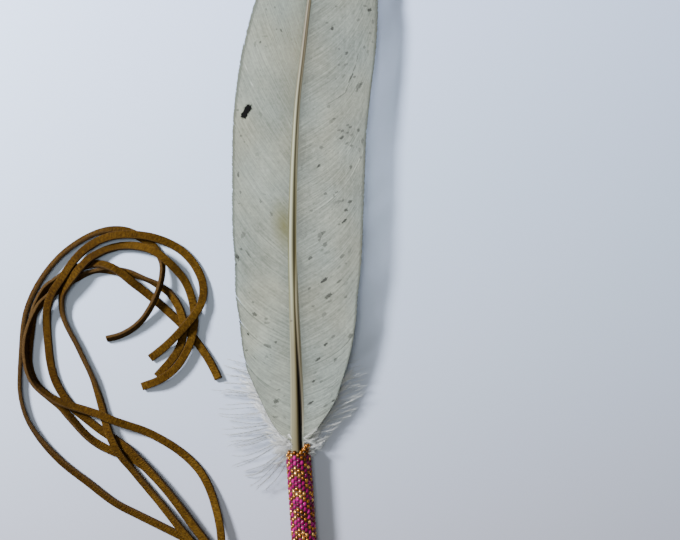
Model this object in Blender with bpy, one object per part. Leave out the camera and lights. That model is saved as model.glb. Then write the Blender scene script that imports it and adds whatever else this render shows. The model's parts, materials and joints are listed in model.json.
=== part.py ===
"""A smudge feather: one grey-white feather with a beaded handle and five suede laces.

It lies on a flat surface, grooved underside up. +X is across the feather, +Y runs to its tip and
+Z is up. Shapes are drawn in millimetres from the middle of the beaded sleeve's upper end, at the
surface, and are then centred on the feather and handle.
"""
import math

import bmesh
import bpy
from mathutils import Vector

MM = 0.001

# Handle
BEAD_COLUMNS = 20
BEAD_PITCH = 2.04            # along a column
SLEEVE_ROWS = 38
SLEEVE_RADIUS = 5.15         # over the beads
SLEEVE_BORE = 3.4
SLEEVE_LEAN = 3.9            # degrees, the foot towards +X
SLEEVE_LENGTH = SLEEVE_ROWS * BEAD_PITCH
RIM_RISE = 2.4               # the beads reach higher on the +X side
AXIS_HEIGHT = SLEEVE_RADIUS * math.cos(math.pi / BEAD_COLUMNS)
WRAP_RADIUS = 4.7
WRAP_LENGTH = 12.0
WRAP_NECK_RADIUS = 3.0
WRAP_NECK_LENGTH = 7.0
WRAP_EDGE = 0.5              # the rounding at its ends
GAP = 0.3

# Laces
LACE_WIDTH = 3.3
LACE_THICKNESS = 1.7
LACE_STEP = 7.5              # between the rings of a lace
LANE = 2.1                   # half the distance between the two stacks of laces
LAYER = 2.1                  # from one lace up to the next in a stack
FLOOR_LACE = 0.9             # the middle of a lace that lies flat on the surface
FLOOR_GAP = 0.05
LOOP_RADIUS = 18.7           # of the turn below the handle
LOOP_RUN = 14.0              # straight out of the wrap before the turn

# Feather
SHAFT_SIDES = 12
SHAFT_RINGS = 20             # above the sleeve
GROOVE_DEPTH = 0.22          # as a share of the shaft's depth
GROOVE_START = 12.0          # the groove reaches its depth here
VANE_THICKNESS = 0.6
VANE_ROWS = 40
VANE_FOOT = 5.5              # where the lowest barbs leave the shaft
VANE_TIP = 237.0
VANE_COLUMNS = 4             # on each side of the shaft
NOTCH = 0.035                # how far the edge is cut in between locks, as a share of a barb
BARB_ROOT = 0.1              # height of a barb's root over the shaft's middle, in shaft depths
BARB_BEND = 1.12             # a barb turns towards the tip as it nears the edge
RISE_BEND = 1.4              # a vane curves up as it nears the edge
DOWN_THICKNESS = 0.7
DOWN_ARCH = 4.0              # how far a lock climbs the feather before it bends away

QUILL_RINGS = (-66.0, -63.0, -60.0, -45.0, -30.0, -15.0)
# Shaft from the quill's end to the tip: y, x, height, width, depth
SHAFT = [
    (-66.0, 4.5, AXIS_HEIGHT, 3.6, 3.6), (-60.0, 4.1, AXIS_HEIGHT, 5.2, 5.2),
    (-30.0, 2.05, AXIS_HEIGHT, 5.8, 5.8), (0.0, 0.0, AXIS_HEIGHT, 6.0, 5.6),
    (20.4, -0.2, 4.8, 6.0, 5.2), (40.4, -0.8, 4.1, 5.2, 4.6), (60.4, -1.6, 3.3, 4.5, 4.2),
    (80.4, -2.2, 2.5, 4.1, 3.9), (100.4, -2.0, 2.0, 3.8, 3.6), (120.4, -1.4, 1.75, 3.2, 3.2),
    (140.4, -0.2, 1.6, 2.7, 2.8), (160.4, 2.1, 1.6, 2.3, 2.4), (180.4, 4.5, 1.9, 2.0, 2.1),
    (200.4, 7.2, 2.7, 1.7, 1.8), (220.4, 10.4, 4.0, 1.3, 1.4), (238.0, 13.8, 5.4, 0.8, 1.0),
]

# The vanes' edges, from the foot to the tip: y, x
LEFT_EDGE = [
    (4.4, -5.4), (12.4, -10.6), (20.4, -14.6), (28.4, -18.2), (34.4, -20.6), (42.4, -22.2),
    (52.4, -23.4), (64.4, -25.0), (76.4, -25.2), (88.4, -26.2), (106.4, -26.3), (124.4, -26.2),
    (140.4, -25.2), (160.4, -22.2), (180.4, -17.0), (200.4, -10.6), (220.4, -2.4), (232.0, 5.0),
    (240.4, 14.4),
]
RIGHT_EDGE = [
    (4.4, 4.6), (12.4, 9.4), (20.4, 14.6), (26.4, 16.8), (34.4, 19.4), (42.4, 21.4),
    (52.4, 23.0), (60.4, 23.6), (76.4, 25.2), (100.4, 26.2), (124.4, 27.0), (140.4, 28.6),
    (160.4, 31.0), (180.4, 31.8), (192.4, 31.8), (204.4, 30.6), (216.4, 28.0), (228.4, 23.8),
    (236.4, 18.6), (240.4, 14.6),
]
# How far up the feather a barb reaches from its root to the edge: root y, reach
LEFT_REACH = [(2.0, 6.0), (14.0, 20.0), (30.0, 30.0), (60.0, 33.0), (150.0, 32.0), (200.0, 24.0),
              (225.0, 12.0), (238.0, 2.0)]
RIGHT_REACH = [(2.0, 6.0), (20.0, 14.0), (40.0, 19.0), (90.0, 21.0), (170.0, 23.0), (205.0, 20.0),
               (225.0, 12.0), (238.0, 2.0)]
# How high each edge stands over the shaft: y, rise
LEFT_RISE = [(0.0, 0.5), (40.0, 1.5), (100.0, 2.5), (180.0, 3.0), (240.0, 0.5)]
RIGHT_RISE = [(0.0, 0.5), (30.0, 2.5), (80.0, 6.0), (160.0, 7.0), (210.0, 4.5), (240.0, 0.5)]

# Down at the foot of the vanes, one lock a row: root y, side, tip x, tip y, tip height, width
DOWN = [
    (6, -1, -16, -13, 1.5, 1.6), (7, -1, -20, -10, 3.0, 1.8), (8, -1, -23, -7, 1.2, 1.6),
    (9, -1, -24, -3, 4.0, 1.8), (10, -1, -28, 1, 2.0, 1.8), (11, -1, -27, 4, 5.0, 1.8),
    (12, -1, -30, 8, 1.4, 1.8), (13, -1, -28, 12, 5.5, 2.0), (14, -1, -32, 15, 3.0, 1.8),
    (15, -1, -30, 20, 6.0, 2.0), (16, -1, -33, 23, 2.0, 1.8), (18, -1, -28, 26, 7.0, 2.0),
    (20, -1, -30, 31, 4.0, 1.8), (22, -1, -26, 33, 7.5, 2.0), (24, -1, -27, 38, 5.0, 1.8),
    (26, -1, -24, 42, 7.0, 1.8), (29, -1, -25, 46, 3.0, 1.6),
    (7, 1, 13, -6, 1.5, 1.6), (8, 1, 16, -3, 4.0, 1.6), (9, 1, 18, 0, 1.8, 1.8),
    (10, 1, 21, 3, 4.5, 1.8), (11, 1, 22, 6, 2.0, 1.8), (12, 1, 25, 9, 6.0, 1.8),
    (13, 1, 24, 12, 3.0, 2.0), (14, 1, 27, 16, 2.0, 1.8), (15, 1, 26, 19, 6.5, 2.0),
    (16, 1, 29, 22, 3.5, 1.8), (18, 1, 28, 26, 7.5, 2.0), (20, 1, 26, 29, 5.0, 1.8),
    (22, 1, 27, 33, 8.0, 1.8), (25, 1, 24, 36, 5.5, 1.8), (28, 1, 25, 41, 8.5, 1.6),
]

# How wide a lock is from its root to its tip: share of its length, share of its width
LOCK_PROFILE = ((0.0, 0.8), (0.3, 1.0), (0.6, 0.85), (0.85, 0.5), (1.0, 0.12))

# The laces above the loop: x, y, height of the middle, roll in degrees from lying flat
LACE_ROUTES = {
    "lace_1": [
        (-31.9, -59.6, 0.9, 0), (-32.9, -53.2, 0.9, 0), (-34.9, -47.4, 0.9, 0), (-39.6, -39.2, 0.9, 10),
        (-45.8, -34.4, 1, 15), (-51.4, -31.5, 1.1, 20), (-65.3, -24.6, 1.2, 25), (-72.2, -21.1, 1.25, 30),
        (-84.2, -12.2, 1.3, 32), (-95.4, -3.4, 1.35, 40), (-104.4, 6.6, 1.6, 62), (-107.7, 11.8, 1.65, 70),
        (-111.2, 24.4, 1.7, 75), (-111.2, 31.2, 1.7, 75), (-110.8, 38, 1.7, 72), (-108, 58, 1.62, 62),
        (-101.8, 70, 1.6, 60), (-92.2, 80.5, 1.6, 60), (-73.8, 88.5, 1.4, 45), (-68.2, 87.8, 1.1, 20),
        (-63.4, 85.6, 1.05, 12), (-59, 82.7, 1.2, 20), (-55.8, 79.2, 1.75, 45), (-54.1, 74.8, 3, 66),
        (-54, 70.4, 4.4, 70), (-54.9, 66, 5, 70), (-56.6, 61.4, 4.7, 68), (-59, 57, 3.7, 66),
        (-62.2, 52.5, 2.6, 64), (-71.2, 46.3, 1.62, 58), (-76.5, 44.9, 1.6, 56),
    ],
    "lace_2": [
        (-27.7, -59.6, 3, 0), (-31.6, -44.2, 3, 10), (-41.6, -29.2, 3.1, 22), (-62.8, -3.7, 3.05, 20),
        (-67.6, 1, 3, 15), (-72.6, 4.4, 1.7, 8), (-78.6, 8.2, 1, 5), (-84, 12.4, 0.95, 5),
        (-89, 16.5, 0.95, 5), (-96.3, 26.6, 0.95, 5), (-100.2, 46.8, 0.95, 8), (-100.4, 53.2, 1.8, 10),
        (-99.4, 58.8, 4.15, 8), (-97.6, 63.5, 4.3, 12), (-94.6, 67.9, 4.5, 12), (-88.6, 76.8, 3.6, 12),
        (-84.9, 80.6, 2.9, 15), (-80, 83.8, 2.9, 15), (-74.4, 85.8, 3.7, 14), (-62.6, 86.2, 3.5, 12),
        (-56.6, 85, 3, 12), (-50.8, 82.7, 1.9, 12), (-45.6, 79.2, 1.1, 12), (-37.9, 64, 1.9, 10),
        (-38.7, 59, 3, 10), (-41, 55, 3.9, 10), (-44, 51.1, 5.35, 8), (-47.4, 47.3, 5.35, 8),
        (-51.4, 43.4, 3.3, 8), (-55.4, 40, 1.8, 8), (-59.1, 37.2, 0.95, 5),
    ],
    "lace_3": [
        (-31.9, -59.6, 3, 0), (-33, -53.2, 3, 0), (-40, -39, 3, 15), (-47.8, -29.3, 3.5, 24),
        (-53, -23.1, 2.2, 30), (-66.8, -6.6, 1.6, 34), (-70.8, -1.3, 3.3, 20), (-73.6, 3.8, 4.1, 10),
        (-75.6, 8.4, 3.6, 12), (-77.2, 13.2, 2, 22), (-78.6, 18.4, 1.25, 28), (-81.9, 28.6, 1.6, 60),
        (-87.5, 40.6, 1.65, 66), (-94.4, 57, 1.9, 60), (-94.1, 62.1, 3, 50), (-92, 66, 4, 34),
        (-89.5, 69.4, 4.4, 24), (-87, 72.8, 4.6, 20), (-83.4, 76.6, 3.9, 24), (-79, 79.4, 2.4, 30),
        (-73.8, 81.4, 1.5, 30), (-62.5, 81.6, 3.5, 16), (-57, 79.8, 4.8, 8), (-52.4, 76.3, 4.9, 8),
        (-44.8, 66.9, 1.1, 8), (-41.7, 56.2, 1.3, 5), (-42.2, 46.1, 3.1, 4), (-44, 41, 3, 3),
        (-50.4, 31.9, 3, 3), (-55.6, 28.5, 3, 2), (-62.3, 25.9, 0.9, 0),
    ],
    "lace_4": [
        (-29.8, -59.6, 5.1, 0), (-29.8, -48.4, 5.1, 0), (-30, -42, 5.2, 0), (-31.4, -28.2, 3.5, 5),
        (-38.8, -8.6, 1.1, 8), (-61.6, 8.2, 1.4, -8), (-68.2, 10.7, 3.2, -8), (-74.2, 13, 4.9, -10),
        (-79, 15, 4.8, -14), (-84, 16.5, 3.9, -24), (-88.8, 17.9, 3.8, -36), (-93.4, 19.5, 4.4, -45),
        (-97.6, 21.5, 4.3, -56), (-104.8, 27.1, 4.3, -68), (-108.5, 40.8, 4.3, -72), (-104.5, 55.8, 3.8, -70),
        (-102.4, 59.1, 2.9, -58), (-100.3, 61, 1.8, -46), (-98.2, 62.8, 1.3, -32), (-89.6, 68.8, 1.1, -22),
        (-85.6, 70.6, 1.6, -65), (-80.6, 72.1, 1.65, -78), (-71, 71.8, 1.1, -12), (-61, 68.8, 1.65, -72),
        (-56.4, 66.6, 1.45, -52), (-52.2, 63.8, 1.7, -40), (-46.6, 55.2, 3, -12), (-45.6, 50.6, 3, -6),
        (-46, 45.6, 2.8, -4), (-47.7, 41, 1.4, -2), (-56.5, 29.9, 0.9, 0),
    ],
    "lace_5": [
        (-27.7, -59.6, 0.9, 0), (-31.8, -44.6, 0.9, 0), (-42.1, -29.8, 0.9, 0), (-57.5, -10.2, 0.9, 0),
        (-62.5, -5.4, 0.9, 0), (-67.2, -2.5, 0.9, 4), (-72.2, -0.7, 0.95, -8), (-77.4, 1.5, 1.1, -18),
        (-82.4, 4.6, 1.45, -46), (-91.3, 13.8, 1.5, -48), (-95, 18.1, 1.3, -28), (-99.8, 22, 1.1, -14),
        (-104, 25.8, 1.15, -14), (-106.7, 30.6, 1.2, -14), (-107, 47, 1.2, -18), (-105.1, 57, 1.5, -50),
        (-100, 65.9, 1.5, -52), (-96.2, 68.5, 1.4, -44), (-92.6, 71.2, 1.15, -22), (-88, 73.4, 1.1, 0),
        (-83.4, 74.6, 1.35, 30), (-78.8, 74.8, 3.1, 44), (-74.5, 73.6, 4.3, 34), (-70.6, 71.3, 3.9, 26),
        (-66.8, 68.2, 3.8, 18), (-62.6, 64.7, 1.9, 12), (-57.8, 60.8, 0.95, -8), (-52.8, 56.5, 0.9, -4),
        (-39.2, 41.8, 0.9, -5), (-33.6, 32.6, 1, -14), (-31.9, 28.9, 1, -14),
    ],
}
# Where each lace lies in the bundle that leaves the wrap: lane across, layer up
LACE_PLACES = {
    "lace_1": (1, 0), "lace_2": (-1, 1), "lace_3": (1, 1), "lace_4": (0, 2), "lace_5": (-1, 0),
}


def clear_scene():
    for thing in list(bpy.data.objects):
        bpy.data.objects.remove(thing)


def material(name, colour, roughness, metallic=0.0):
    made = bpy.data.materials.new(name)
    made.use_nodes = True
    shader = made.node_tree.nodes["Principled BSDF"]
    shader.inputs["Base Color"].default_value = (*colour, 1.0)
    shader.inputs["Roughness"].default_value = roughness
    shader.inputs["Metallic"].default_value = metallic
    made.diffuse_color = (*colour, 1.0)
    return made


def add_object(name, data, finish):
    thing = bpy.data.objects.new(name, data)
    data.materials.append(finish)
    bpy.context.scene.collection.objects.link(thing)
    return thing


def mesh_from(bm, name):
    mesh = bpy.data.meshes.new(name)
    bmesh.ops.recalc_face_normals(bm, faces=bm.faces)
    if bm.calc_volume(signed=True) < 0:
        bmesh.ops.reverse_faces(bm, faces=bm.faces)
    bm.to_mesh(mesh)
    bm.free()
    return mesh


def catmull(before, start, end, after, t):
    """A point between start and end on the smooth curve through all four."""
    return tuple(
        0.5 * (2 * b + (c - a) * t + (2 * a - 5 * b + 4 * c - d) * t * t
               + (3 * b - a - 3 * c + d) * t * t * t)
        for a, b, c, d in zip(before, start, end, after))


def table(points, y):
    """The values that a table keyed by its first column gives at y, on a smooth curve."""
    last = len(points) - 2
    i = 0
    while i < last and y > points[i + 1][0]:
        i += 1
    t = min(max((y - points[i][0]) / (points[i + 1][0] - points[i][0]), 0.0), 1.0)
    before = points[max(i - 1, 0)]
    after = points[min(i + 2, len(points) - 1)]
    return catmull(before[1:], points[i][1:], points[i + 1][1:], after[1:], t)


def smooth_route(points, step):
    """Points about a step apart on the smooth curve through the route's own points."""
    spans = [(Vector(b[:3]) - Vector(a[:3])).length for a, b in zip(points, points[1:])]
    last = len(points) - 1
    slopes = []
    for i, here in enumerate(points):
        before, after = points[max(i - 1, 0)], points[min(i + 1, last)]
        lead = spans[i - 1] if i else spans[0]
        follow = spans[i] if i < last else spans[-1]
        slopes.append([((h - b) / lead * follow + (a - h) / follow * lead) / (lead + follow)
                       for b, h, a in zip(before, here, after)])
    fine = []
    for i, span in enumerate(spans):
        for k in range(12):
            t = k / 12
            fine.append(tuple(
                (1 + 2 * t) * (1 - t) ** 2 * p + t * (1 - t) ** 2 * span * m
                + t * t * (3 - 2 * t) * q - t * t * (1 - t) * span * n
                for p, m, q, n in zip(points[i], slopes[i], points[i + 1], slopes[i + 1])))
    fine.append(points[-1])
    along = [0.0]
    for a, b in zip(fine, fine[1:]):
        along.append(along[-1] + (Vector(b[:3]) - Vector(a[:3])).length)
    count = round(along[-1] / step)
    result = []
    k = 0
    for n in range(count + 1):
        wanted = along[-1] * n / count
        while k < len(along) - 2 and along[k + 1] < wanted:
            k += 1
        t = (wanted - along[k]) / (along[k + 1] - along[k])
        result.append(tuple(p + (q - p) * t for p, q in zip(fine[k], fine[k + 1])))
    return result


def handle_frame():
    """The handle's direction away from the feather, and the direction across it."""
    lean = math.radians(SLEEVE_LEAN)
    return Vector((math.sin(lean), -math.cos(lean), 0)), Vector((math.cos(lean), math.sin(lean), 0))


def turn_to_handle(bm):
    """Turns a shape drawn along Z, its feather end at the origin, onto the handle's axis."""
    down, across = handle_frame()
    for vert in bm.verts:
        x, y, z = vert.co
        vert.co = across * x - down * z + Vector((0, 0, AXIS_HEIGHT - y))


def ring(bm, radius, z, start):
    """A ring of vertices, one at each corner between two columns of beads."""
    made = bmesh.ops.create_circle(bm, segments=BEAD_COLUMNS, radius=radius)["verts"]
    for k, vert in enumerate(made):
        angle = start + 2 * math.pi * k / BEAD_COLUMNS
        vert.co = Vector((radius * math.cos(angle), radius * math.sin(angle), z))
    return made


def edges_of(verts):
    inside = set(verts)
    return [e for v in verts for e in v.link_edges if e.other_vert(v) in inside]


def bridge(bm, first, second):
    edges = set(edges_of(first)) | set(edges_of(second))
    bmesh.ops.bridge_loops(bm, edges=list(edges))


def beaded_sleeve():
    """The tube's outer form, one facet for each column of beads, with a facet below to rest on."""
    bm = bmesh.new()
    start = -math.pi / 2 + math.pi / BEAD_COLUMNS
    outer_top = ring(bm, SLEEVE_RADIUS, 0, start)
    outer_low = ring(bm, SLEEVE_RADIUS, -SLEEVE_LENGTH, start)
    inner_top = ring(bm, SLEEVE_BORE, 0, start)
    inner_low = ring(bm, SLEEVE_BORE, -SLEEVE_LENGTH, start)
    for first, second in ((outer_top, outer_low), (outer_low, inner_low),
                          (inner_low, inner_top), (inner_top, outer_top)):
        bridge(bm, first, second)
    for rim in (outer_top, inner_top):
        for k, vert in enumerate(rim):
            side = max(math.cos(start + 2 * math.pi * k / BEAD_COLUMNS), 0.0)
            vert.co.z += RIM_RISE * side ** 2 + BEAD_PITCH / 2 * (k % 2)
    turn_to_handle(bm)
    return mesh_from(bm, "beaded_sleeve")


def end_wrap():
    """A turned suede wrap with a neck inside the sleeve."""
    bm = bmesh.new()
    top = -SLEEVE_LENGTH - GAP
    profile = [
        (0, top + WRAP_NECK_LENGTH), (WRAP_NECK_RADIUS, top + WRAP_NECK_LENGTH),
        (WRAP_NECK_RADIUS, top), (WRAP_RADIUS - WRAP_EDGE, top), (WRAP_RADIUS, top - WRAP_EDGE),
        (WRAP_RADIUS, top - WRAP_LENGTH + WRAP_EDGE), (WRAP_RADIUS - WRAP_EDGE, top - WRAP_LENGTH),
        (0, top - WRAP_LENGTH),
    ]
    verts = [bm.verts.new((x, 0, z)) for x, z in profile]
    edges = [bm.edges.new(pair) for pair in zip(verts, verts[1:])]
    bmesh.ops.spin(bm, geom=verts + edges, axis=(0, 0, 1), cent=(0, 0, 0), angle=2 * math.pi,
                   steps=BEAD_COLUMNS, use_merge=True)
    bmesh.ops.remove_doubles(bm, verts=bm.verts, dist=0.001)
    turn_to_handle(bm)
    return mesh_from(bm, "end_wrap")


def loft(bm, rings):
    """Closes a row of vertex rings, each a list of points, into one solid."""
    first = [bm.verts.new(p) for p in rings[0]]
    bm.faces.new(first[::-1])
    before = first
    for points in rings[1:]:
        verts = [bm.verts.new(p) for p in points]
        for k in range(len(verts)):
            n = (k + 1) % len(verts)
            bm.faces.new((before[k], before[n], verts[n], verts[k]))
        before = verts
    bm.faces.new(before)


def shaft():
    """The quill and the shaft, with a groove along the upper side of the shaft."""
    rings = []
    high = SHAFT[-1][0]
    stations = list(QUILL_RINGS) + [high * k / SHAFT_RINGS for k in range(SHAFT_RINGS + 1)]
    for y in stations:
        x, height, width, depth = table(SHAFT, y)
        groove = GROOVE_DEPTH * depth * min(max(y / GROOVE_START, 0.0), 1.0)
        points = []
        for k in range(SHAFT_SIDES):
            angle = 2 * math.pi * k / SHAFT_SIDES + math.pi / 2
            px = x + width / 2 * math.cos(angle)
            pz = height + depth / 2 * math.sin(angle)
            if k == 0:
                pz -= groove
            points.append((px, y, pz))
        rings.append(points)
    bm = bmesh.new()
    loft(bm, rings)
    return mesh_from(bm, "feather")


def barb_point(root, side, share):
    """A point on the vane, a share of the way along the barb whose root is at that height."""
    edge, reach, rise = ((LEFT_EDGE, LEFT_REACH, LEFT_RISE) if side < 0
                         else (RIGHT_EDGE, RIGHT_REACH, RIGHT_RISE))
    x0, height, width, depth = table(SHAFT, root)
    y1 = min(root + table(reach, root)[0], edge[-1][0])
    x1 = table(edge, y1)[0]
    lift = table(rise, y1)[0]
    x = x0 + (x1 - x0) * share
    y = root + (y1 - root) * share ** BARB_BEND
    return Vector((x, y, height + BARB_ROOT * depth + lift * share ** RISE_BEND))


def vanes():
    """Both vanes as one thin sheet through the shaft, the edge cut into locks."""
    bm = bmesh.new()
    across = 2 * VANE_COLUMNS
    made = bmesh.ops.create_grid(bm, x_segments=across, y_segments=VANE_ROWS, size=1.0)
    for vert in made["verts"]:
        column = round((vert.co.x + 1) / 2 * across) - VANE_COLUMNS
        row = round((vert.co.y + 1) / 2 * VANE_ROWS)
        root = VANE_FOOT + (VANE_TIP - VANE_FOOT) * row / VANE_ROWS
        share = abs(column) / VANE_COLUMNS
        if abs(column) == VANE_COLUMNS and row % 2 and row < VANE_ROWS - 2:
            share -= NOTCH * (1.0 + 0.8 * math.sin(row * 2.3 + column))
        vert.co = barb_point(root, -1 if column < 0 else 1, share)
    top = bm.faces[:]
    made = bmesh.ops.extrude_face_region(bm, geom=top)
    lower = [v for v in made["geom"] if isinstance(v, bmesh.types.BMVert)]
    bmesh.ops.translate(bm, verts=lower, vec=(0, 0, -VANE_THICKNESS))
    return mesh_from(bm, "vanes")


def down_lock(bm, root, side, tip, width):
    """A tapered lock that leaves the shaft's side and bends away to its tip."""
    x0, height, shaft_width, depth = table(SHAFT, root)
    start = Vector((x0 + side * 0.15 * shaft_width, root, height))
    middle = Vector((x0 + (tip.x - x0) * 0.5, root + (tip.y - root) * 0.3 + DOWN_ARCH,
                     height + (tip.z - height) * 0.5 + 0.5))
    rings = []
    for share, swell in LOCK_PROFILE:
        here = start * (1 - share) ** 2 + middle * (2 * share * (1 - share)) + tip * share ** 2
        along = ((middle - start) * (1 - share) + (tip - middle) * share).normalized()
        over = Vector((-along.y, along.x, 0)).normalized() * (width / 2 * swell)
        up = Vector((0, 0, DOWN_THICKNESS / 2 * max(swell, 0.3)))
        rings.append([here + over, here + up, here - over, here - up])
    loft(bm, rings)


def down():
    bm = bmesh.new()
    for root, side, x, y, z, width in DOWN:
        down_lock(bm, root, side, Vector((x, y, z)), width)
    return mesh_from(bm, "down")


def feather(finish):
    """Shaft, vanes and down, grown together into one solid."""
    grown = add_object("feather", shaft(), finish)
    for part in (vanes(), down()):
        other = add_object(part.name, part, finish)
        other.hide_render = True
        other.display_type = "WIRE"
        join = grown.modifiers.new(part.name, "BOOLEAN")
        join.operation = "UNION"
        join.solver = "EXACT"
        join.use_self = True
        join.object = other
    return grown


def bundle_route(lane, layer):
    """A lace's way out of the wrap, round the loop and back beside the handle."""
    down_axis, across = handle_frame()
    start = down_axis * (SLEEVE_LENGTH + GAP + WRAP_LENGTH + GAP)
    offset = lane * LANE
    high = AXIS_HEIGHT + (layer - 1) * LAYER
    low = FLOOR_LACE + layer * LAYER
    points = []
    for share in (0.0, 0.45, 1.0):
        here = start + down_axis * (LOOP_RUN * share) + across * offset
        drop = share * share * 0.55
        points.append((here.x, here.y, high + (low - high) * drop, 0.0))
    centre = start + down_axis * LOOP_RUN - across * LOOP_RADIUS
    radius = LOOP_RADIUS + offset
    for degrees in (30, 60, 90, 120, 150, 180):
        angle = math.radians(degrees)
        here = centre + across * (radius * math.cos(angle)) + down_axis * (radius * math.sin(angle))
        height = low + (high - low) * 0.45 * max(1 - degrees / 60, 0.0) ** 2
        points.append((here.x, here.y, height, 0.0))
    return points


def lace(name, finish):
    """A flat lace as a bevelled curve, rolled where it lies on its edge."""
    route = bundle_route(*LACE_PLACES[name]) + LACE_ROUTES[name]
    points = smooth_route(route, LACE_STEP)
    curve = bpy.data.curves.new(name, "CURVE")
    curve.dimensions = "3D"
    curve.twist_mode = "Z_UP"
    curve.bevel_depth = LACE_THICKNESS / 2 * MM
    curve.extrude = (LACE_WIDTH - LACE_THICKNESS) / 2 * MM
    curve.bevel_resolution = 1
    curve.use_fill_caps = True
    spline = curve.splines.new("POLY")
    spline.points.add(len(points) - 1)
    for point, (x, y, z, roll) in zip(spline.points, points):
        half = LACE_THICKNESS / 2 + (LACE_WIDTH - LACE_THICKNESS) / 2 * abs(math.sin(math.radians(roll)))
        point.co = (x * MM, y * MM, max(z, half + FLOOR_GAP) * MM, 1.0)
        point.tilt = math.radians(90.0 - roll)
    return add_object(name, curve, finish)


def scale_to_metres(thing):
    for vert in thing.data.vertices:
        vert.co *= MM


def centre_on_handle_and_feather(solids):
    """Moves everything so that the origin is under the middle of the feather and handle."""
    corners = []
    graph = bpy.context.evaluated_depsgraph_get()
    for thing in solids:
        mesh = thing.evaluated_get(graph).to_mesh()
        corners += [v.co.copy() for v in mesh.vertices]
    middle = [(min(c[i] for c in corners) + max(c[i] for c in corners)) / 2 for i in range(2)]
    whole = bpy.data.objects.new("smudge_feather", None)
    for thing in bpy.data.objects:
        if thing is not whole:
            thing.parent = whole
    bpy.context.scene.collection.objects.link(whole)
    whole.location = (-middle[0], -middle[1], 0.0)


def build():
    clear_scene()
    solids = [
        feather(material("feather", (0.62, 0.62, 0.58), 0.75)),
        add_object("beaded_sleeve", beaded_sleeve(), material("beads", (0.55, 0.10, 0.35), 0.25)),
        add_object("end_wrap", end_wrap(), material("wrap_suede", (0.19, 0.09, 0.02), 0.95)),
    ]
    for name in LACE_ROUTES:
        lace(name, material(name + "_suede", (0.24, 0.12, 0.03), 0.95))
    for thing in bpy.data.objects:
        if thing.type == "MESH":
            scale_to_metres(thing)
    bpy.context.view_layer.update()
    centre_on_handle_and_feather(solids)


build()
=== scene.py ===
"""The looks of a smudge feather: barbed vanes, down, a beaded handle and five suede laces.

Shapes are drawn in millimetres from the middle of the beaded sleeve's upper end, at the surface,
and finish_piece moves them into the row frame, in metres.
"""
import json
import math
import random

import bmesh
import bpy
from mathutils import Matrix, Vector, noise


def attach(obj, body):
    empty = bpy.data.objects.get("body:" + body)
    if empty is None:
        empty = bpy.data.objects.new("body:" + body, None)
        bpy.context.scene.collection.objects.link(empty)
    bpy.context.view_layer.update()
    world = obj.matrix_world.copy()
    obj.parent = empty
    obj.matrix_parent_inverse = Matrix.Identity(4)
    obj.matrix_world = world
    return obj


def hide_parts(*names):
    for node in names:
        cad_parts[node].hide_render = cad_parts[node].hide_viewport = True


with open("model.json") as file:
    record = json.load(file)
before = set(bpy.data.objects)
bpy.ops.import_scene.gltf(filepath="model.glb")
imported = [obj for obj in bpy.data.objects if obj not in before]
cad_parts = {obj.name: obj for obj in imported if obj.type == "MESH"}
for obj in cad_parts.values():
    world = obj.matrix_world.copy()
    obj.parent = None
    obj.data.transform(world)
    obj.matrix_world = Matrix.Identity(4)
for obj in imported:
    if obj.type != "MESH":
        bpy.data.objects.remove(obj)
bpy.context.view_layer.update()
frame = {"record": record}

MM = 0.001

# Handle
BEAD_COLUMNS = 20
BEAD_PITCH = 2.04            # along a column
SLEEVE_ROWS = 38
SLEEVE_RADIUS = 5.15         # over the beads
SLEEVE_LEAN = math.radians(3.9)
SLEEVE_LENGTH = SLEEVE_ROWS * BEAD_PITCH
AXIS_HEIGHT = SLEEVE_RADIUS * math.cos(math.pi / BEAD_COLUMNS)
WRAP_RADIUS = 4.7
WRAP_LENGTH = 12.0
GAP = 0.3                    # between the sleeve, the wrap and the laces
DOWN_HANDLE = Vector((math.sin(SLEEVE_LEAN), -math.cos(SLEEVE_LEAN), 0.0))
ACROSS_HANDLE = Vector((math.cos(SLEEVE_LEAN), math.sin(SLEEVE_LEAN), 0.0))

# Where the drawing's origin lies in the row frame: the rest face is under the sleeve's middle
REST_FACE = Vector(frame["record"]["mounts"][0]["pos_m"])
ORIGIN = REST_FACE - DOWN_HANDLE * (SLEEVE_LENGTH / 2 * MM)

# The photo's frame
MM_PER_PIXEL = 0.40
PHOTO_SIZE = (680, 540)
SLEEVE_TOP_PIXEL = (298.5, 451.0)
CAMERA_DISTANCE = 0.60
SENSOR = 36.0

# Laces
LACE_WIDTH = 3.3
LACE_THICKNESS = 1.7
LANE = 2.1                   # half the distance between the two stacks of laces
LAYER = 2.1                  # from one lace up to the next in a stack
FLOOR_LACE = 0.9             # the middle of a lace that lies flat on the surface
FLOOR_GAP = 0.05
LOOP_RADIUS = 18.7           # of the turn below the handle
LOOP_RUN = 14.0              # straight out of the wrap before the turn
LOOP_DROP = 0.55             # the share of a lace's way down that it makes along that run
SUEDE_WIDTH = 3.2
SUEDE_THICKNESS = 1.5
OUTLINE_SIDES = 24
OUTLINE_ROUND = 0.35         # 1 is an ellipse and 0 a sharp rectangle
CUT_EDGE = 0.32              # how far the cut edge's colour reaches onto the face
SUEDE_STEP = 0.9             # between the rings of a lace
FINE_STEPS = 12              # between two points of its route, before they are spaced out evenly
EDGE_SWELL = 0.035           # how much a lace's width wanders, as a share
NAP_HEIGHT = 0.05

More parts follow.
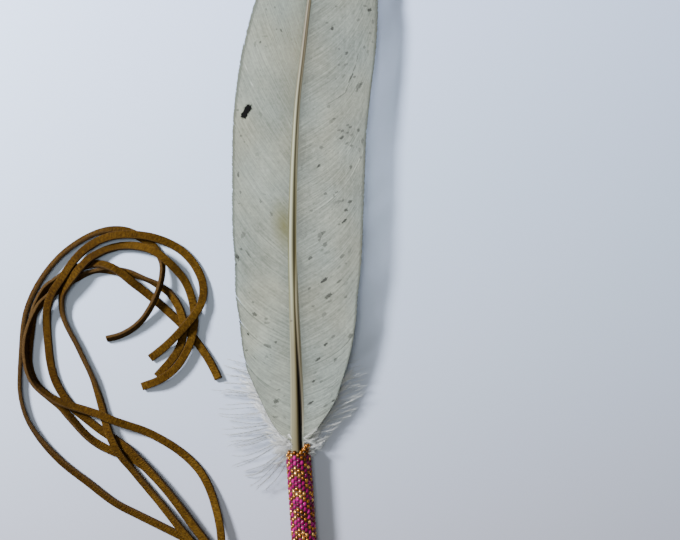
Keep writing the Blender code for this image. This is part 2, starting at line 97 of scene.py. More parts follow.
# The laces from beside the handle to their ends: x, y, height and roll in degrees
LACE_ROUTES = {
    "lace_1": [
        (-31.9, -59.6, 0.9, 0), (-32.9, -53.2, 0.9, 0), (-34.9, -47.4, 0.9, 0), (-39.6, -39.2, 0.9, 10),
        (-45.8, -34.4, 1, 15), (-51.4, -31.5, 1.1, 20), (-65.3, -24.6, 1.2, 25), (-72.2, -21.1, 1.25, 30),
        (-84.2, -12.2, 1.3, 32), (-95.4, -3.4, 1.35, 40), (-104.4, 6.6, 1.6, 62), (-107.7, 11.8, 1.65, 70),
        (-111.2, 24.4, 1.7, 75), (-111.2, 31.2, 1.7, 75), (-110.8, 38, 1.7, 72), (-108, 58, 1.62, 62),
        (-101.8, 70, 1.6, 60), (-92.2, 80.5, 1.6, 60), (-73.8, 88.5, 1.4, 45), (-68.2, 87.8, 1.1, 20),
        (-63.4, 85.6, 1.05, 12), (-59, 82.7, 1.2, 20), (-55.8, 79.2, 1.75, 45), (-54.1, 74.8, 3, 66),
        (-54, 70.4, 4.4, 70), (-54.9, 66, 5, 70), (-56.6, 61.4, 4.7, 68), (-59, 57, 3.7, 66),
        (-62.2, 52.5, 2.6, 64), (-71.2, 46.3, 1.62, 58), (-76.5, 44.9, 1.6, 56),
    ],
    "lace_2": [
        (-27.7, -59.6, 3, 0), (-31.6, -44.2, 3, 10), (-41.6, -29.2, 3.1, 22), (-62.8, -3.7, 3.05, 20),
        (-67.6, 1, 3, 15), (-72.6, 4.4, 1.7, 8), (-78.6, 8.2, 1, 5), (-84, 12.4, 0.95, 5),
        (-89, 16.5, 0.95, 5), (-96.3, 26.6, 0.95, 5), (-100.2, 46.8, 0.95, 8), (-100.4, 53.2, 1.8, 10),
        (-99.4, 58.8, 4.15, 8), (-97.6, 63.5, 4.3, 12), (-94.6, 67.9, 4.5, 12), (-88.6, 76.8, 3.6, 12),
        (-84.9, 80.6, 2.9, 15), (-80, 83.8, 2.9, 15), (-74.4, 85.8, 3.7, 14), (-62.6, 86.2, 3.5, 12),
        (-56.6, 85, 3, 12), (-50.8, 82.7, 1.9, 12), (-45.6, 79.2, 1.1, 12), (-37.9, 64, 1.9, 10),
        (-38.7, 59, 3, 10), (-41, 55, 3.9, 10), (-44, 51.1, 5.35, 8), (-47.4, 47.3, 5.35, 8),
        (-51.4, 43.4, 3.3, 8), (-55.4, 40, 1.8, 8), (-59.1, 37.2, 0.95, 5),
    ],
    "lace_3": [
        (-31.9, -59.6, 3, 0), (-33, -53.2, 3, 0), (-40, -39, 3, 15), (-47.8, -29.3, 3.5, 24),
        (-53, -23.1, 2.2, 30), (-66.8, -6.6, 1.6, 34), (-70.8, -1.3, 3.3, 20), (-73.6, 3.8, 4.1, 10),
        (-75.6, 8.4, 3.6, 12), (-77.2, 13.2, 2, 22), (-78.6, 18.4, 1.25, 28), (-81.9, 28.6, 1.6, 60),
        (-87.5, 40.6, 1.65, 66), (-94.4, 57, 1.9, 60), (-94.1, 62.1, 3, 50), (-92, 66, 4, 34),
        (-89.5, 69.4, 4.4, 24), (-87, 72.8, 4.6, 20), (-83.4, 76.6, 3.9, 24), (-79, 79.4, 2.4, 30),
        (-73.8, 81.4, 1.5, 30), (-62.5, 81.6, 3.5, 16), (-57, 79.8, 4.8, 8), (-52.4, 76.3, 4.9, 8),
        (-44.8, 66.9, 1.1, 8), (-41.7, 56.2, 1.3, 5), (-42.2, 46.1, 3.1, 4), (-44, 41, 3, 3),
        (-50.4, 31.9, 3, 3), (-55.6, 28.5, 3, 2), (-62.3, 25.9, 0.9, 0),
    ],
    "lace_4": [
        (-29.8, -59.6, 5.1, 0), (-29.8, -48.4, 5.1, 0), (-30, -42, 5.2, 0), (-31.4, -28.2, 3.5, 5),
        (-38.8, -8.6, 1.1, 8), (-61.6, 8.2, 1.4, -8), (-68.2, 10.7, 3.2, -8), (-74.2, 13, 4.9, -10),
        (-79, 15, 4.8, -14), (-84, 16.5, 3.9, -24), (-88.8, 17.9, 3.8, -36), (-93.4, 19.5, 4.4, -45),
        (-97.6, 21.5, 4.3, -56), (-104.8, 27.1, 4.3, -68), (-108.5, 40.8, 4.3, -72), (-104.5, 55.8, 3.8, -70),
        (-102.4, 59.1, 2.9, -58), (-100.3, 61, 1.8, -46), (-98.2, 62.8, 1.3, -32), (-89.6, 68.8, 1.1, -22),
        (-85.6, 70.6, 1.6, -65), (-80.6, 72.1, 1.65, -78), (-71, 71.8, 1.1, -12), (-61, 68.8, 1.65, -72),
        (-56.4, 66.6, 1.45, -52), (-52.2, 63.8, 1.7, -40), (-46.6, 55.2, 3, -12), (-45.6, 50.6, 3, -6),
        (-46, 45.6, 2.8, -4), (-47.7, 41, 1.4, -2), (-56.5, 29.9, 0.9, 0),
    ],
    "lace_5": [
        (-27.7, -59.6, 0.9, 0), (-31.8, -44.6, 0.9, 0), (-42.1, -29.8, 0.9, 0), (-57.5, -10.2, 0.9, 0),
        (-62.5, -5.4, 0.9, 0), (-67.2, -2.5, 0.9, 4), (-72.2, -0.7, 0.95, -8), (-77.4, 1.5, 1.1, -18),
        (-82.4, 4.6, 1.45, -46), (-91.3, 13.8, 1.5, -48), (-95, 18.1, 1.3, -28), (-99.8, 22, 1.1, -14),
        (-104, 25.8, 1.15, -14), (-106.7, 30.6, 1.2, -14), (-107, 47, 1.2, -18), (-105.1, 57, 1.5, -50),
        (-100, 65.9, 1.5, -52), (-96.2, 68.5, 1.4, -44), (-92.6, 71.2, 1.15, -22), (-88, 73.4, 1.1, 0),
        (-83.4, 74.6, 1.35, 30), (-78.8, 74.8, 3.1, 44), (-74.5, 73.6, 4.3, 34), (-70.6, 71.3, 3.9, 26),
        (-66.8, 68.2, 3.8, 18), (-62.6, 64.7, 1.9, 12), (-57.8, 60.8, 0.95, -8), (-52.8, 56.5, 0.9, -4),
        (-39.2, 41.8, 0.9, -5), (-33.6, 32.6, 1, -14), (-31.9, 28.9, 1, -14),
    ],
}
# Their lanes and layers in the bundle below the handle
LACE_PLACES = {
    "lace_1": (1, 0), "lace_2": (-1, 1), "lace_3": (1, 1), "lace_4": (0, 2), "lace_5": (-1, 0),
}

# Shaft from the quill's end to the tip: y, x, height, width, depth
SHAFT = [
    (-66, 4.5, AXIS_HEIGHT, 3.6, 3.6), (-60, 4.1, AXIS_HEIGHT, 5.2, 5.2),
    (-30, 2.05, AXIS_HEIGHT, 5.8, 5.8), (0, 0, AXIS_HEIGHT, 6, 5.6), (20.4, -0.2, 4.8, 6, 5.2),
    (40.4, -0.8, 4.1, 5.2, 4.6), (60.4, -1.6, 3.3, 4.5, 4.2), (80.4, -2.2, 2.5, 4.1, 3.9),
    (100.4, -2, 2, 3.8, 3.6), (120.4, -1.4, 1.75, 3.2, 3.2), (140.4, -0.2, 1.6, 2.7, 2.8),
    (160.4, 2.1, 1.6, 2.3, 2.4), (180.4, 4.5, 1.9, 2, 2.1), (200.4, 7.2, 2.7, 1.7, 1.8),
    (220.4, 10.4, 4, 1.3, 1.4), (238, 13.8, 5.4, 0.8, 1),
]
# The vanes' edges, from the foot to the tip: y, x
LEFT_EDGE = [
    (4.4, -5.4), (12.4, -10.6), (20.4, -14.6), (28.4, -18.2), (34.4, -20.6), (42.4, -22.2), (52.4, -23.4),
    (64.4, -25), (76.4, -25.2), (88.4, -26.2), (106.4, -26.3), (124.4, -26.2), (140.4, -25.2),
    (160.4, -22.2), (180.4, -17), (200.4, -10.6), (220.4, -2.4), (232, 5), (240.4, 14.4),
]
RIGHT_EDGE = [
    (4.4, 4.6), (12.4, 9.4), (20.4, 14.6), (26.4, 16.8), (34.4, 19.4), (42.4, 21.4), (52.4, 23),
    (60.4, 23.6), (76.4, 25.2), (100.4, 26.2), (124.4, 27), (140.4, 28.6), (160.4, 31), (180.4, 31.8),
    (192.4, 31.8), (204.4, 30.6), (216.4, 28), (228.4, 23.8), (236.4, 18.6), (240.4, 14.6),
]
# How far up the feather a barb reaches from its root to the edge, and the straight share of that
# climb: root y, reach, share
LEFT_REACH = [
    (2, 5, 0.62), (14, 12, 0.62), (22, 15.5, 0.62), (37, 16, 0.62), (45, 17.5, 0.62), (60, 22, 0.64),
    (80, 29, 0.7), (100, 34, 0.78), (140, 39, 0.88), (180, 36, 0.88), (205, 25, 0.85), (226, 11, 0.8),
    (238, 2, 0.8),
]
RIGHT_REACH = [
    (2, 4, 0.62), (18, 10, 0.62), (30, 14, 0.6), (45, 20, 0.58), (62, 25, 0.56), (90, 30, 0.52),
    (110, 36, 0.46), (132, 42, 0.42), (160, 40, 0.42), (185, 34, 0.45), (205, 25, 0.5), (222, 15, 0.55),
    (238, 2, 0.8),
]
# How high each edge stands over the shaft: y, rise
LEFT_RISE = [
    (0, 0.5), (40, 1.5), (100, 2.5), (180, 3), (240, 0.5),
]
RIGHT_RISE = [
    (0, 0.5), (30, 2.5), (80, 6), (160, 7), (210, 4.5), (240, 0.5),
]
VANE_SHAPE = {-1: (LEFT_EDGE, LEFT_REACH, LEFT_RISE), 1: (RIGHT_EDGE, RIGHT_REACH, RIGHT_RISE)}
SIDE_NAME = {-1: "left", 1: "right"}
VANE_FOOT = 4.5
VANE_TIP = 238.0
BARB_ROOT = {-1: 0.16, 1: 0.28}      # height of a barb's root over the shaft's middle, in shaft depths
ROOT_SHADE = {-1: 0.28, 1: 0.42}     # how much darker a barb is at its root
ROOT_FADE = 9.0              # and how soon that fades along it
BARB_TURN = 4.0              # how late the rest of a barb's climb comes
RISE_BEND = 1.4              # a vane curves up as it nears the edge
# The places of a barb's rings, as shares of its length
BARB_RINGS = [0.0, 0.05, 0.12, 0.22, 0.34, 0.46, 0.58, 0.70, 0.80, 0.89, 0.95, 0.98, 1.0]
BARB_PITCH = {-1: 0.40, 1: 0.34}     # along the shaft, left and right
BARB_LAP = 1.5               # a barb's width over the distance to the next one
LEAST_LAP = 0.2              # the least distance to the next one, in barb pitches
BARB_TIP = 0.99              # from this share on a barb is narrower
SHARP_ANGLE = math.radians(35)
BARB_BOW = 0.10              # how far a barb bows aside, in millimetres
BARB_SHORT = 0.007           # how much barbs differ in length, as a share
BARB_TONE = 0.14             # how much barbs differ in lightness
TIP_SHADE = 0.5              # how much darker a barb's last bit is
EDGE_WAVE = 0.35             # how far a vane waves up and down at its edge
# Splits between barbs: root y, how far the barbs part at the edge
SPLITS = {
    -1: [(10.0, 0.9), (21.5, 1.8), (30.0, 0.7), (37.2, 2.4), (45.2, 2.4), (60.0, 0.7), (72.0, 0.8)],
    1: [(12.0, 0.9), (21.0, 0.9), (33.0, 1.6), (52.0, 0.6), (96.0, 0.4)],
}
SPLIT_OPEN = 0.25            # how much of a split's width shows as a gap at the edge
SPLIT_SPREAD = 2.2           # how far from a split its barbs are pushed aside, along the shaft
SPLIT_REACH = 0.45           # and how far they are darker
# The barbs just below a split get painted shadow, a dark line in the split, and those just above it a little
# painted light
SPLIT_SHADE = 0.8
SPLIT_LIGHT = -0.2             # the barbs above a split are a little lighter instead
BARB_START = 0.30            # a barb leaves the shaft's side, in shaft widths from its middle
BARB_TILT = 0.035            # one edge of a barb lies this much over the other's
# A barb's section: across in half widths and up in millimetres
BARB_SECTION = [(1.0, 0.0), (0.30, 0.02), (0.0, 0.12), (-0.30, 0.02), (-1.0, 0.0), (0.0, -0.07)]
# Flecks of two sizes: cell width and length in millimetres, and how rare they are left and right
FINE_FLECKS = (1.0, 1.5, {-1: 1.22, 1: 1.14})
BOLD_FLECKS = (2.2, 3.4, {-1: 1.40, 1: 1.34})
FLECK_GATHER = 0.9           # how much the flecks gather in patches
FLECK_COLOUR = (0.055, 0.06, 0.05)
# The vanes stand above the surface, so what the photo shows of them lies this much nearer its middle
SEEN = 1 - 4.5 / 600
# Marks that the photo shows singly, on the left vane, on the right one's barbs that leave the shaft below
# MARK_BREAK and on those above it: pixel x and y, length, width, turn in degrees, darkness
MARK_BREAK = 94.0
MARK_COLOUR = (0.030, 0.030, 0.028)
LEFT_MARKS = [
    (281, 30, 1.5, 0.7, 120, 0.7), (260.3, 42, 1, 0.8, 100, 0.7), (276.5, 28.8, 0.9, 0.7, 0, 0.4),
    (255.1, 44, 0.8, 2.2, 0, 0.4), (265, 36, 2.6, 0.6, 0, 0.3), (265.9, 46.3, 0.8, 0.7, 0, 0.3),
    (274.8, 6.7, 0.9, 0.7, 90, 0.5), (266.2, 9.1, 1, 0.6, 90, 0.4), (260.3, 70.2, 0.8, 0.7, 0, 0.3),
    (237.9, 110.1, 1, 0.8, 0, 0.5), (260.3, 114, 1, 2, 20, 0.3), (240.7, 136.1, 0.9, 0.8, 0, 0.5),
    (244.2, 142, 0.8, 0.7, 0, 0.4), (238.4, 174.9, 2.4, 0.8, 90, 0.7), (257, 154.3, 1.8, 1.6, 0, 0.25),
    (240.7, 192.6, 1.2, 0.8, 90, 0.6), (239.3, 203.8, 0.9, 0.7, 0, 0.5), (260.6, 201.4, 1.4, 1, 90, 0.5),
    (265, 194.4, 0.9, 0.7, 0, 0.3), (271.3, 214, 1.6, 0.9, 110, 0.5), (243.5, 234.8, 2.8, 1.6, 60, 0.4),
    (241.1, 249.1, 1.1, 1, 0, 0.6), (248.4, 254, 3.4, 0.7, 125, 0.55), (237.4, 256.4, 2.2, 1.3, 120, 0.8),
    (238.6, 259.6, 1.6, 0.8, 100, 0.6), (236.2, 264.5, 1.6, 0.7, 70, 0.6), (253, 302, 1.1, 0.8, 0, 0.5),
    (254.8, 314.2, 2, 1.3, 140, 0.7), (266, 318.8, 1.2, 1, 0, 0.5), (266.8, 322.9, 2.6, 1, 0, 0.4),
    (240.3, 321, 1.9, 0.9, 125, 0.9), (248.4, 333.9, 1.4, 0.8, 120, 0.85),
    (267.4, 345.6, 3.6, 1.2, 160, 0.6), (275.8, 342.2, 1.3, 1, 0, 0.7), (247, 350.2, 1.2, 0.8, 0, 0.6),
    (266.6, 356.5, 1.4, 1.6, 0, 0.3), (276.5, 400.8, 2.6, 1.7, 10, 0.75), (275.1, 405.6, 2, 1, 0, 0.4),
    (278.6, 389.5, 1.6, 0.7, 10, 0.5), (275.8, 416.6, 2.6, 0.8, 0, 0.45), (284.2, 395.8, 1.2, 0.7, 20, 0.3),
]
LOW_RIGHT_MARKS = [
    (331.9, 407.7, 1.8, 0.9, 30, 0.45), (333.3, 400, 1.6, 0.8, 40, 0.85), (325.6, 404.9, 2.2, 0.8, 30, 0.5),
    (311, 402.3, 2.6, 0.8, 32, 0.9), (321.4, 381.2, 1.6, 0.8, 30, 0.4), (313.9, 380.6, 1.8, 0.8, 36, 0.85),
    (315, 372.6, 1.6, 0.8, 30, 0.35), (335.4, 359.2, 1.8, 0.9, 40, 0.6), (350.1, 335.4, 2.6, 1.3, 45, 0.6),
    (317.9, 359.2, 2.4, 0.9, 36, 0.85), (325.7, 344.1, 2.2, 1, 45, 0.9), (333.3, 336.1, 2, 1, 30, 0.5),
    (358.6, 299.6, 1.9, 0.7, 80, 0.5), (345.9, 296.6, 1.6, 0.9, 40, 0.5), (324.2, 314.6, 2.4, 1.6, 40, 0.4),
    (329.8, 301, 2, 1, 36, 0.4), (345.9, 283.5, 2, 0.8, 30, 0.35), (313, 306.2, 1.3, 0.8, 30, 0.5),
    (329, 295.4, 3.6, 1.4, 36, 0.8), (338.9, 281.6, 2.6, 0.8, 38, 0.55), (345.9, 263.5, 1.2, 0.8, 20, 0.4),
    (324.4, 280.1, 3.4, 1.1, 38, 0.95), (338.9, 267.3, 1.8, 0.8, 50, 0.4),
    (309.4, 288.4, 1.6, 0.9, 40, 0.6), (349.4, 251.9, 2, 0.8, 60, 0.35), (342.4, 256.1, 1.8, 1.2, 40, 0.5),
    (327.5, 252.7, 2.6, 0.9, 30, 0.35), (310.3, 257.9, 1.9, 1.1, 40, 0.7),
    (324.9, 244.2, 2.2, 1.6, 60, 0.55), (344.1, 221.3, 2.8, 0.9, 42, 0.95), (339.2, 224.6, 1, 0.7, 30, 0.6),
    (319.3, 240, 1.5, 1, 30, 0.55), (323.4, 232.8, 1.8, 1.1, 40, 0.6), (320.2, 235.2, 2.2, 2, 40, 0.5),
    (345.9, 210.4, 1.7, 1.4, 30, 0.8), (349.9, 202, 1.7, 1.2, 30, 0.75), (304, 236.5, 3.6, 1.2, 30, 0.35),
    (343.1, 200.3, 1.3, 0.9, 30, 0.5), (338, 202.3, 3, 1.3, 20, 0.35), (334, 195.9, 0.9, 1.2, 0, 0.45),
    (360.4, 158.3, 1, 1.2, 0, 0.45), (336.8, 192.5, 1.3, 0.6, 30, 0.6), (311.5, 210.6, 1.2, 1, 0, 0.4),
]
HIGH_RIGHT_MARKS = [
    (325.3, 193.7, 1.3, 1.1, 0, 0.55), (359.3, 150.8, 1, 2, 0, 0.4), (350.7, 167.6, 1.3, 1.2, 50, 0.65),
    (362, 142, 1.2, 2.4, 0, 0.5), (369, 123.5, 0.7, 1.8, 0, 0.6), (351.5, 146.4, 1.2, 1, 0, 0.5),
    (358.3, 131.2, 1.1, 1.3, 0, 0.65), (351.5, 135.8, 1.4, 0.9, 50, 0.5), (347, 143.8, 1.8, 0.7, 25, 0.55),
    (318.7, 165.8, 1.9, 0.9, 40, 0.9), (347.3, 133.3, 1.3, 0.8, 0, 0.5), (350.4, 127.7, 1.4, 1.1, 30, 0.65),
    (341.7, 138.2, 1.9, 1.1, 45, 0.85), (347.4, 125.6, 1.5, 0.9, 50, 0.5), (342.4, 131.2, 1.3, 1, 20, 0.65),
    (321.4, 147.3, 1.5, 1.3, 0, 0.5), (338.9, 130.5, 1.6, 0.8, 0, 0.5), (361.5, 84.6, 1.6, 1, 40, 0.5),
    (358.7, 87, 3, 1.8, 50, 0.5), (356.8, 91, 1.4, 1, 60, 0.45), (334, 119, 1.6, 0.8, 30, 0.65),
    (331.2, 121.2, 1.8, 1.2, 40, 0.3), (372.6, 43.5, 0.8, 1.4, 0, 0.4), (367.7, 53, 1, 1.6, 0, 0.35),
    (328.8, 106.6, 1.6, 1.2, 0, 0.4), (341.5, 95.6, 4.4, 0.5, 35, 0.5), (354.3, 77.6, 1.4, 0.9, 40, 0.6),
    (347.2, 88.5, 4, 0.45, 66, 0.5), (332, 101.5, 5.6, 0.45, 30, 0.45), (350.7, 78.4, 4.2, 0.6, 64, 0.8),
    (354.6, 68.5, 3.6, 0.5, 68, 0.65), (369.8, 34.4, 1.1, 1.4, 0, 0.45), (364.2, 48.4, 1, 1.3, 0, 0.5),
    (372.6, 23.2, 1, 1.6, 0, 0.4), (357.2, 58.5, 3.4, 0.45, 74, 0.5), (335.8, 78.6, 1, 0.8, 0, 0.35),
    (345.9, 64.6, 1.8, 0.7, 20, 0.45), (338.6, 64.8, 0.9, 0.9, 0, 0.5), (369.5, 11.2, 1.5, 1.4, 40, 0.9),
    (346.7, 53.3, 1.6, 1, 60, 0.75), (338.9, 49.1, 0.8, 0.8, 0, 0.4), (364.9, 7, 1.2, 1, 0, 0.5),
    (358.3, 20.8, 1.2, 0.9, 40, 0.45), (332, 28.4, 1.8, 1.2, 25, 0.85), (334.7, 24, 0.8, 0.8, 0, 0.4),
    (327, 22.2, 1.2, 1, 0, 0.45), (336.1, 6.3, 1.2, 0.9, 0, 0.4),
]
# Larger marks on the left vane, in the same way: the black blot's lobes, the light cracks, the yellow stain
# beside the shaft and the warmer strip along it
BLOT = [(248.3, 108.2, 3.5, 3.1, 60, 1), (243.9, 115.7, 3, 2.7, 50, 1), (246.2, 112, 4, 2.5, 52, 1)]
BLOT_COLOUR = (0.004, 0.004, 0.004)
CRACKS = [(246.2, 68, 6, 0.6, 112, 0.9), (251.8, 84, 3.6, 0.7, 122, 1)]
CRACK_COLOUR = (0.36, 0.37, 0.34)
STAIN = (284, 226, 26, 12, 100, 0.85, (0.11, 0.105, 0.045))
WARM_STRIP = (296, 60, 110, 14, 86, 0.30, (0.27, 0.255, 0.18))
# From dark to light, left and right; the right vane's are darker as painted shade, offsetting the key light
# that falls more squarely on it
VANE_COLOURS_AND_SHADE = {
    -1: ((0.122, 0.132, 0.118), (0.196, 0.209, 0.188), (0.276, 0.293, 0.262)),
    1: ((0.102, 0.108, 0.099), (0.163, 0.173, 0.158), (0.230, 0.243, 0.222)),
}
# Shaft
SHAFT_SIDES = 44
SHAFT_UPPER = 32             # of them lie on the grooved side
SHAFT_STEP = 2.0
QUILL_BLUNT = 0.35           # how wide the quill's cut end is, as a share
# The groove along it: y, place right of the middle and half width in half shaft widths, depth in depths
GROOVE = [
    (-8, 0.45, 0.24, 0.22), (4, 0.44, 0.24, 0.24), (20, 0.3, 0.23, 0.26), (34, 0.24, 0.2, 0.2),
    (44, 0.2, 0.2, 0.13), (62, 0.2, 0.2, 0.1), (80, 0.4, 0.27, 0.1), (100, 0.36, 0.28, 0.1),
    (116, 0.33, 0.24, 0.09), (140, 0.38, 0.22, 0.07), (170, 0.25, 0.22, 0.04), (210, 0.15, 0.2, 0.02),
    (240, 0.1, 0.2, 0),
]
# Its colours from the left side (0) to the right (1), at the foot, in the middle and near the tip; the last
# stop is painted light on the right flank, which faces away from the key light
LOW_HORN_AND_FLANK_LIGHT = [(0.03, (0.12, 0.12, 0.08)), (0.08, (0.16, 0.155, 0.11)), (0.15, (0.105, 0.097, 0.060)),
            (0.29, (0.095, 0.084, 0.045)), (0.43, (0.075, 0.062, 0.031)), (0.80, (0.055, 0.047, 0.027)),
            (0.92, (0.42, 0.40, 0.31))]
MIDDLE_HORN_AND_FLANK_LIGHT = [(0.03, (0.07, 0.07, 0.035)), (0.13, (0.10, 0.10, 0.062)), (0.22, (0.185, 0.19, 0.128)),
               (0.36, (0.16, 0.162, 0.105)), (0.50, (0.08, 0.075, 0.045)), (0.80, (0.095, 0.09, 0.057)),
               (0.92, (0.42, 0.40, 0.31))]
HIGH_HORN_AND_FLANK_LIGHT = [(0.05, (0.08, 0.07, 0.05)), (0.20, (0.105, 0.092, 0.064)), (0.42, (0.06, 0.048, 0.030)),
             (0.75, (0.085, 0.070, 0.046)), (0.92, (0.34, 0.31, 0.24))]
# The groove's colours from y 0 (0) to y 200 (1): partly its own brown, partly painted shade in the groove,
# near black toward the handle
GROOVE_END = 200.0
GROOVE_COLOUR_AND_SHADE = [(0.0, (0.004, 0.003, 0.002)), (0.15, (0.005, 0.003, 0.002)), (0.21, (0.035, 0.027, 0.011)),
               (0.30, (0.080, 0.068, 0.034)), (0.40, (0.045, 0.038, 0.014)), (0.50, (0.055, 0.049, 0.023)),
               (0.62, (0.08, 0.072, 0.045)), (0.9, (0.11, 0.092, 0.06))]
OLIVE_EDGE = 88.0            # the left side is olive near this y
OLIVE_COLOUR = (0.03, 0.025, 0.007)
SHAFT_SPECK = (291.3, 320.8, 1.6, 1.2, 20, 0.9, (0.03, 0.02, 0.02))
# Down: how many barbs at the left and the right
DOWN_BARBS = {-1: 40, 1: 44}
DOWN_WISPS = {-1: 22, 1: 14}         # shorter ones between them
DOWN_ROOTS = {-1: (30.0, 1.0), 1: (27.0, 2.0)}       # the y of the highest and lowest root
DOWN_REACH = (0.80, 1.0)     # how far toward the fan's edge the barbs reach, and the shorter ones
WISP_REACH = (0.35, 0.75)
DOWN_TUFTS = {-1: 30, 1: 10}         # short ones over the foot of the vanes
TUFT_ROOTS = (-1.0, 7.0)
TUFT_FULLNESS = 0.3          # how full of hairs they are, where a long barb is 1
DOWN_EDGE = 44               # and along the lower edge of each vane, from EDGE_START up
EDGE_START = 2.5
EDGE_LENGTH = 27.0
EDGE_FULLNESS = 0.5
# The down is white; the grey of the barbs' cores, greyest at the left, is painted shade for the dark lines
# they show against the floor
DOWN_CORE_SHADE = {-1: 0.0, 1: 0.5}        # of the barbs: 0 is grey and 1 white
DOWN_RINGS = 14
DOWN_CORE = {-1: 0.19, 1: 0.12}      # radius of a down barb at its root
DOWN_HAIR = {-1: 0.035, 1: 0.028}
HAIR_TONE = {-1: 1.0, 1: 0.75}
# Where the tips lie round the fan, from its top: share, x, y
DOWN_FAN = {
    -1: [(0.0, -26.5, 42.0), (0.12, -30.5, 35.0), (0.3, -34.5, 27.0), (0.45, -34.5, 19.5), (0.6, -32.5, 8.0),
         (0.75, -29.0, -2.0), (0.87, -23.0, -11.0), (1.0, -14.0, -16.5)],
    1: [(0.0, 23.8, 40.0), (0.2, 27.0, 33.0), (0.4, 27.5, 27.0), (0.6, 25.0, 20.5), (0.8, 19.0, 12.0),
        (1.0, 11.0, 4.0)],
}
# Beads
BEAD_SIDES = 10
BEAD_SECTION = [(0.34, -0.50), (0.72, -0.63), (0.97, -0.36), (0.97, 0.36), (0.72, 0.63), (0.34, 0.50)]
BEAD_RING = SLEEVE_RADIUS - 1.02
PEAK_COLUMN = -1             # of the zigzag, one left of the top
# How many beads lower each column's gold starts than the peak's, from the peak rightward
ZIGZAG = [0, 0.5, 1, 2.5, 4, 5.5, 4, 2.5, 1, 0.5, 0, 0.5, 2, 3.5, 5, 5.5, 5, 3.5, 2, 0.5]
PEAK_ROW = 3
BEAD_PERIOD = 4
RIM_LIFT = 0.4               # of the first row's middle over the sleeve's upper end
HIGH_COLUMNS = (3, 4, 5, 6)  # these have one more bead at the rim
BEAD_SHIFT = 0.03            # how unevenly the beads sit: along, turned and in size
BEAD_TURNS = (0.07, 0.05)
BEAD_SIZES = (0.96, 1.02)
CORE_RADIUS = 4.1
CORE_SIDES = 40
CORE_WALL = 0.35
# Wrap
WRAP_TURNS = 3
WRAP_SIDES = 48
PLUG_RADIUS = 2.9
PLUG_LENGTH = 3.0
# One turn's outline: how far inside the wrap's radius, and how far below its start or above its end
TURN_START = [(0.45, 0.0), (0.08, 0.3), (0.0, 0.9)]
TURN_END = [(0.0, 0.7), (0.12, 0.25), (0.5, 0.0)]
WRAP_SLANT = 0.25            # how far the turns rise and fall round the handle
WRAP_ROUGH = 0.012
# Studio
FLOOR_SIZE = 3.0
FLOOR_SPAN = (-35.0, 180.0)  # the floor's colours run from one y to the other
# Darker toward the handle's end and lighter toward the top: painted light falloff over the floor's blue tint
FLOOR_TINT_AND_FALLOFF = [(0.0, (0.30, 0.315, 0.39)), (0.35, (0.335, 0.385, 0.50)),
                 (0.65, (0.36, 0.435, 0.585)), (1.0, (0.41, 0.49, 0.69))]
# Lights: place from the picture's middle, size, watts, colour
LIGHTS = {
    "key": ((-0.53, 0.26, 0.43), 0.15, 22.5, (0.96, 0.98, 1.0)),
    "overhead": ((-0.15, 0.10, 1.3), 0.5, 7.0, (0.98, 1.0, 0.95)),
}
SKY_COLOUR = (1.0, 1.0, 0.88, 1.0)
SKY_STRENGTH = 0.25


def catmull(before, start, end, after, t):
    """A point between start and end on the smooth curve through all four."""
    return tuple(
        0.5 * (2 * b + (c - a) * t + (2 * a - 5 * b + 4 * c - d) * t * t
               + (3 * b - a - 3 * c + d) * t * t * t)
        for a, b, c, d in zip(before, start, end, after))


def table(points, y):
    """The values that a table keyed by its first column gives at y, on a smooth curve."""
    last = len(points) - 2
    i = 0
    while i < last and y > points[i + 1][0]:
        i += 1
    t = min(max((y - points[i][0]) / (points[i + 1][0] - points[i][0]), 0.0), 1.0)
    before = points[max(i - 1, 0)]
    after = points[min(i + 2, len(points) - 1)]
    return catmull(before[1:], points[i][1:], points[i + 1][1:], after[1:], t)


def run_lengths(line):
    """How far along a line of points each of them lies."""
    run = [0.0]
    for a, b in zip(line, line[1:]):
        run.append(run[-1] + (b - a).length)
    return run


def directions(line):
    """Which way a line of points runs at each of them."""
    last = len(line) - 1
    return [(line[min(k + 1, last)] - line[max(k - 1, 0)]).normalized() for k in range(last + 1)]


def first_end(bm, sides):
    """The flat end of a piece that is to be drawn out: a circle with a face."""
    bmesh.ops.create_circle(bm, cap_ends=True, segments=sides, radius=1.0)
    bm.faces.ensure_lookup_table()
    return bm.faces[0]


def draw_out(bm, face):
    """Extrudes a piece's end face and returns the new one; the old one stays only as the first cap."""
    first = len(bm.faces) == 1
    made = bmesh.ops.extrude_face_region(bm, geom=[face])
    if not first:
        bmesh.ops.delete(bm, geom=[face], context="FACES_ONLY")
    return next(g for g in made["geom"] if isinstance(g, bmesh.types.BMFace))


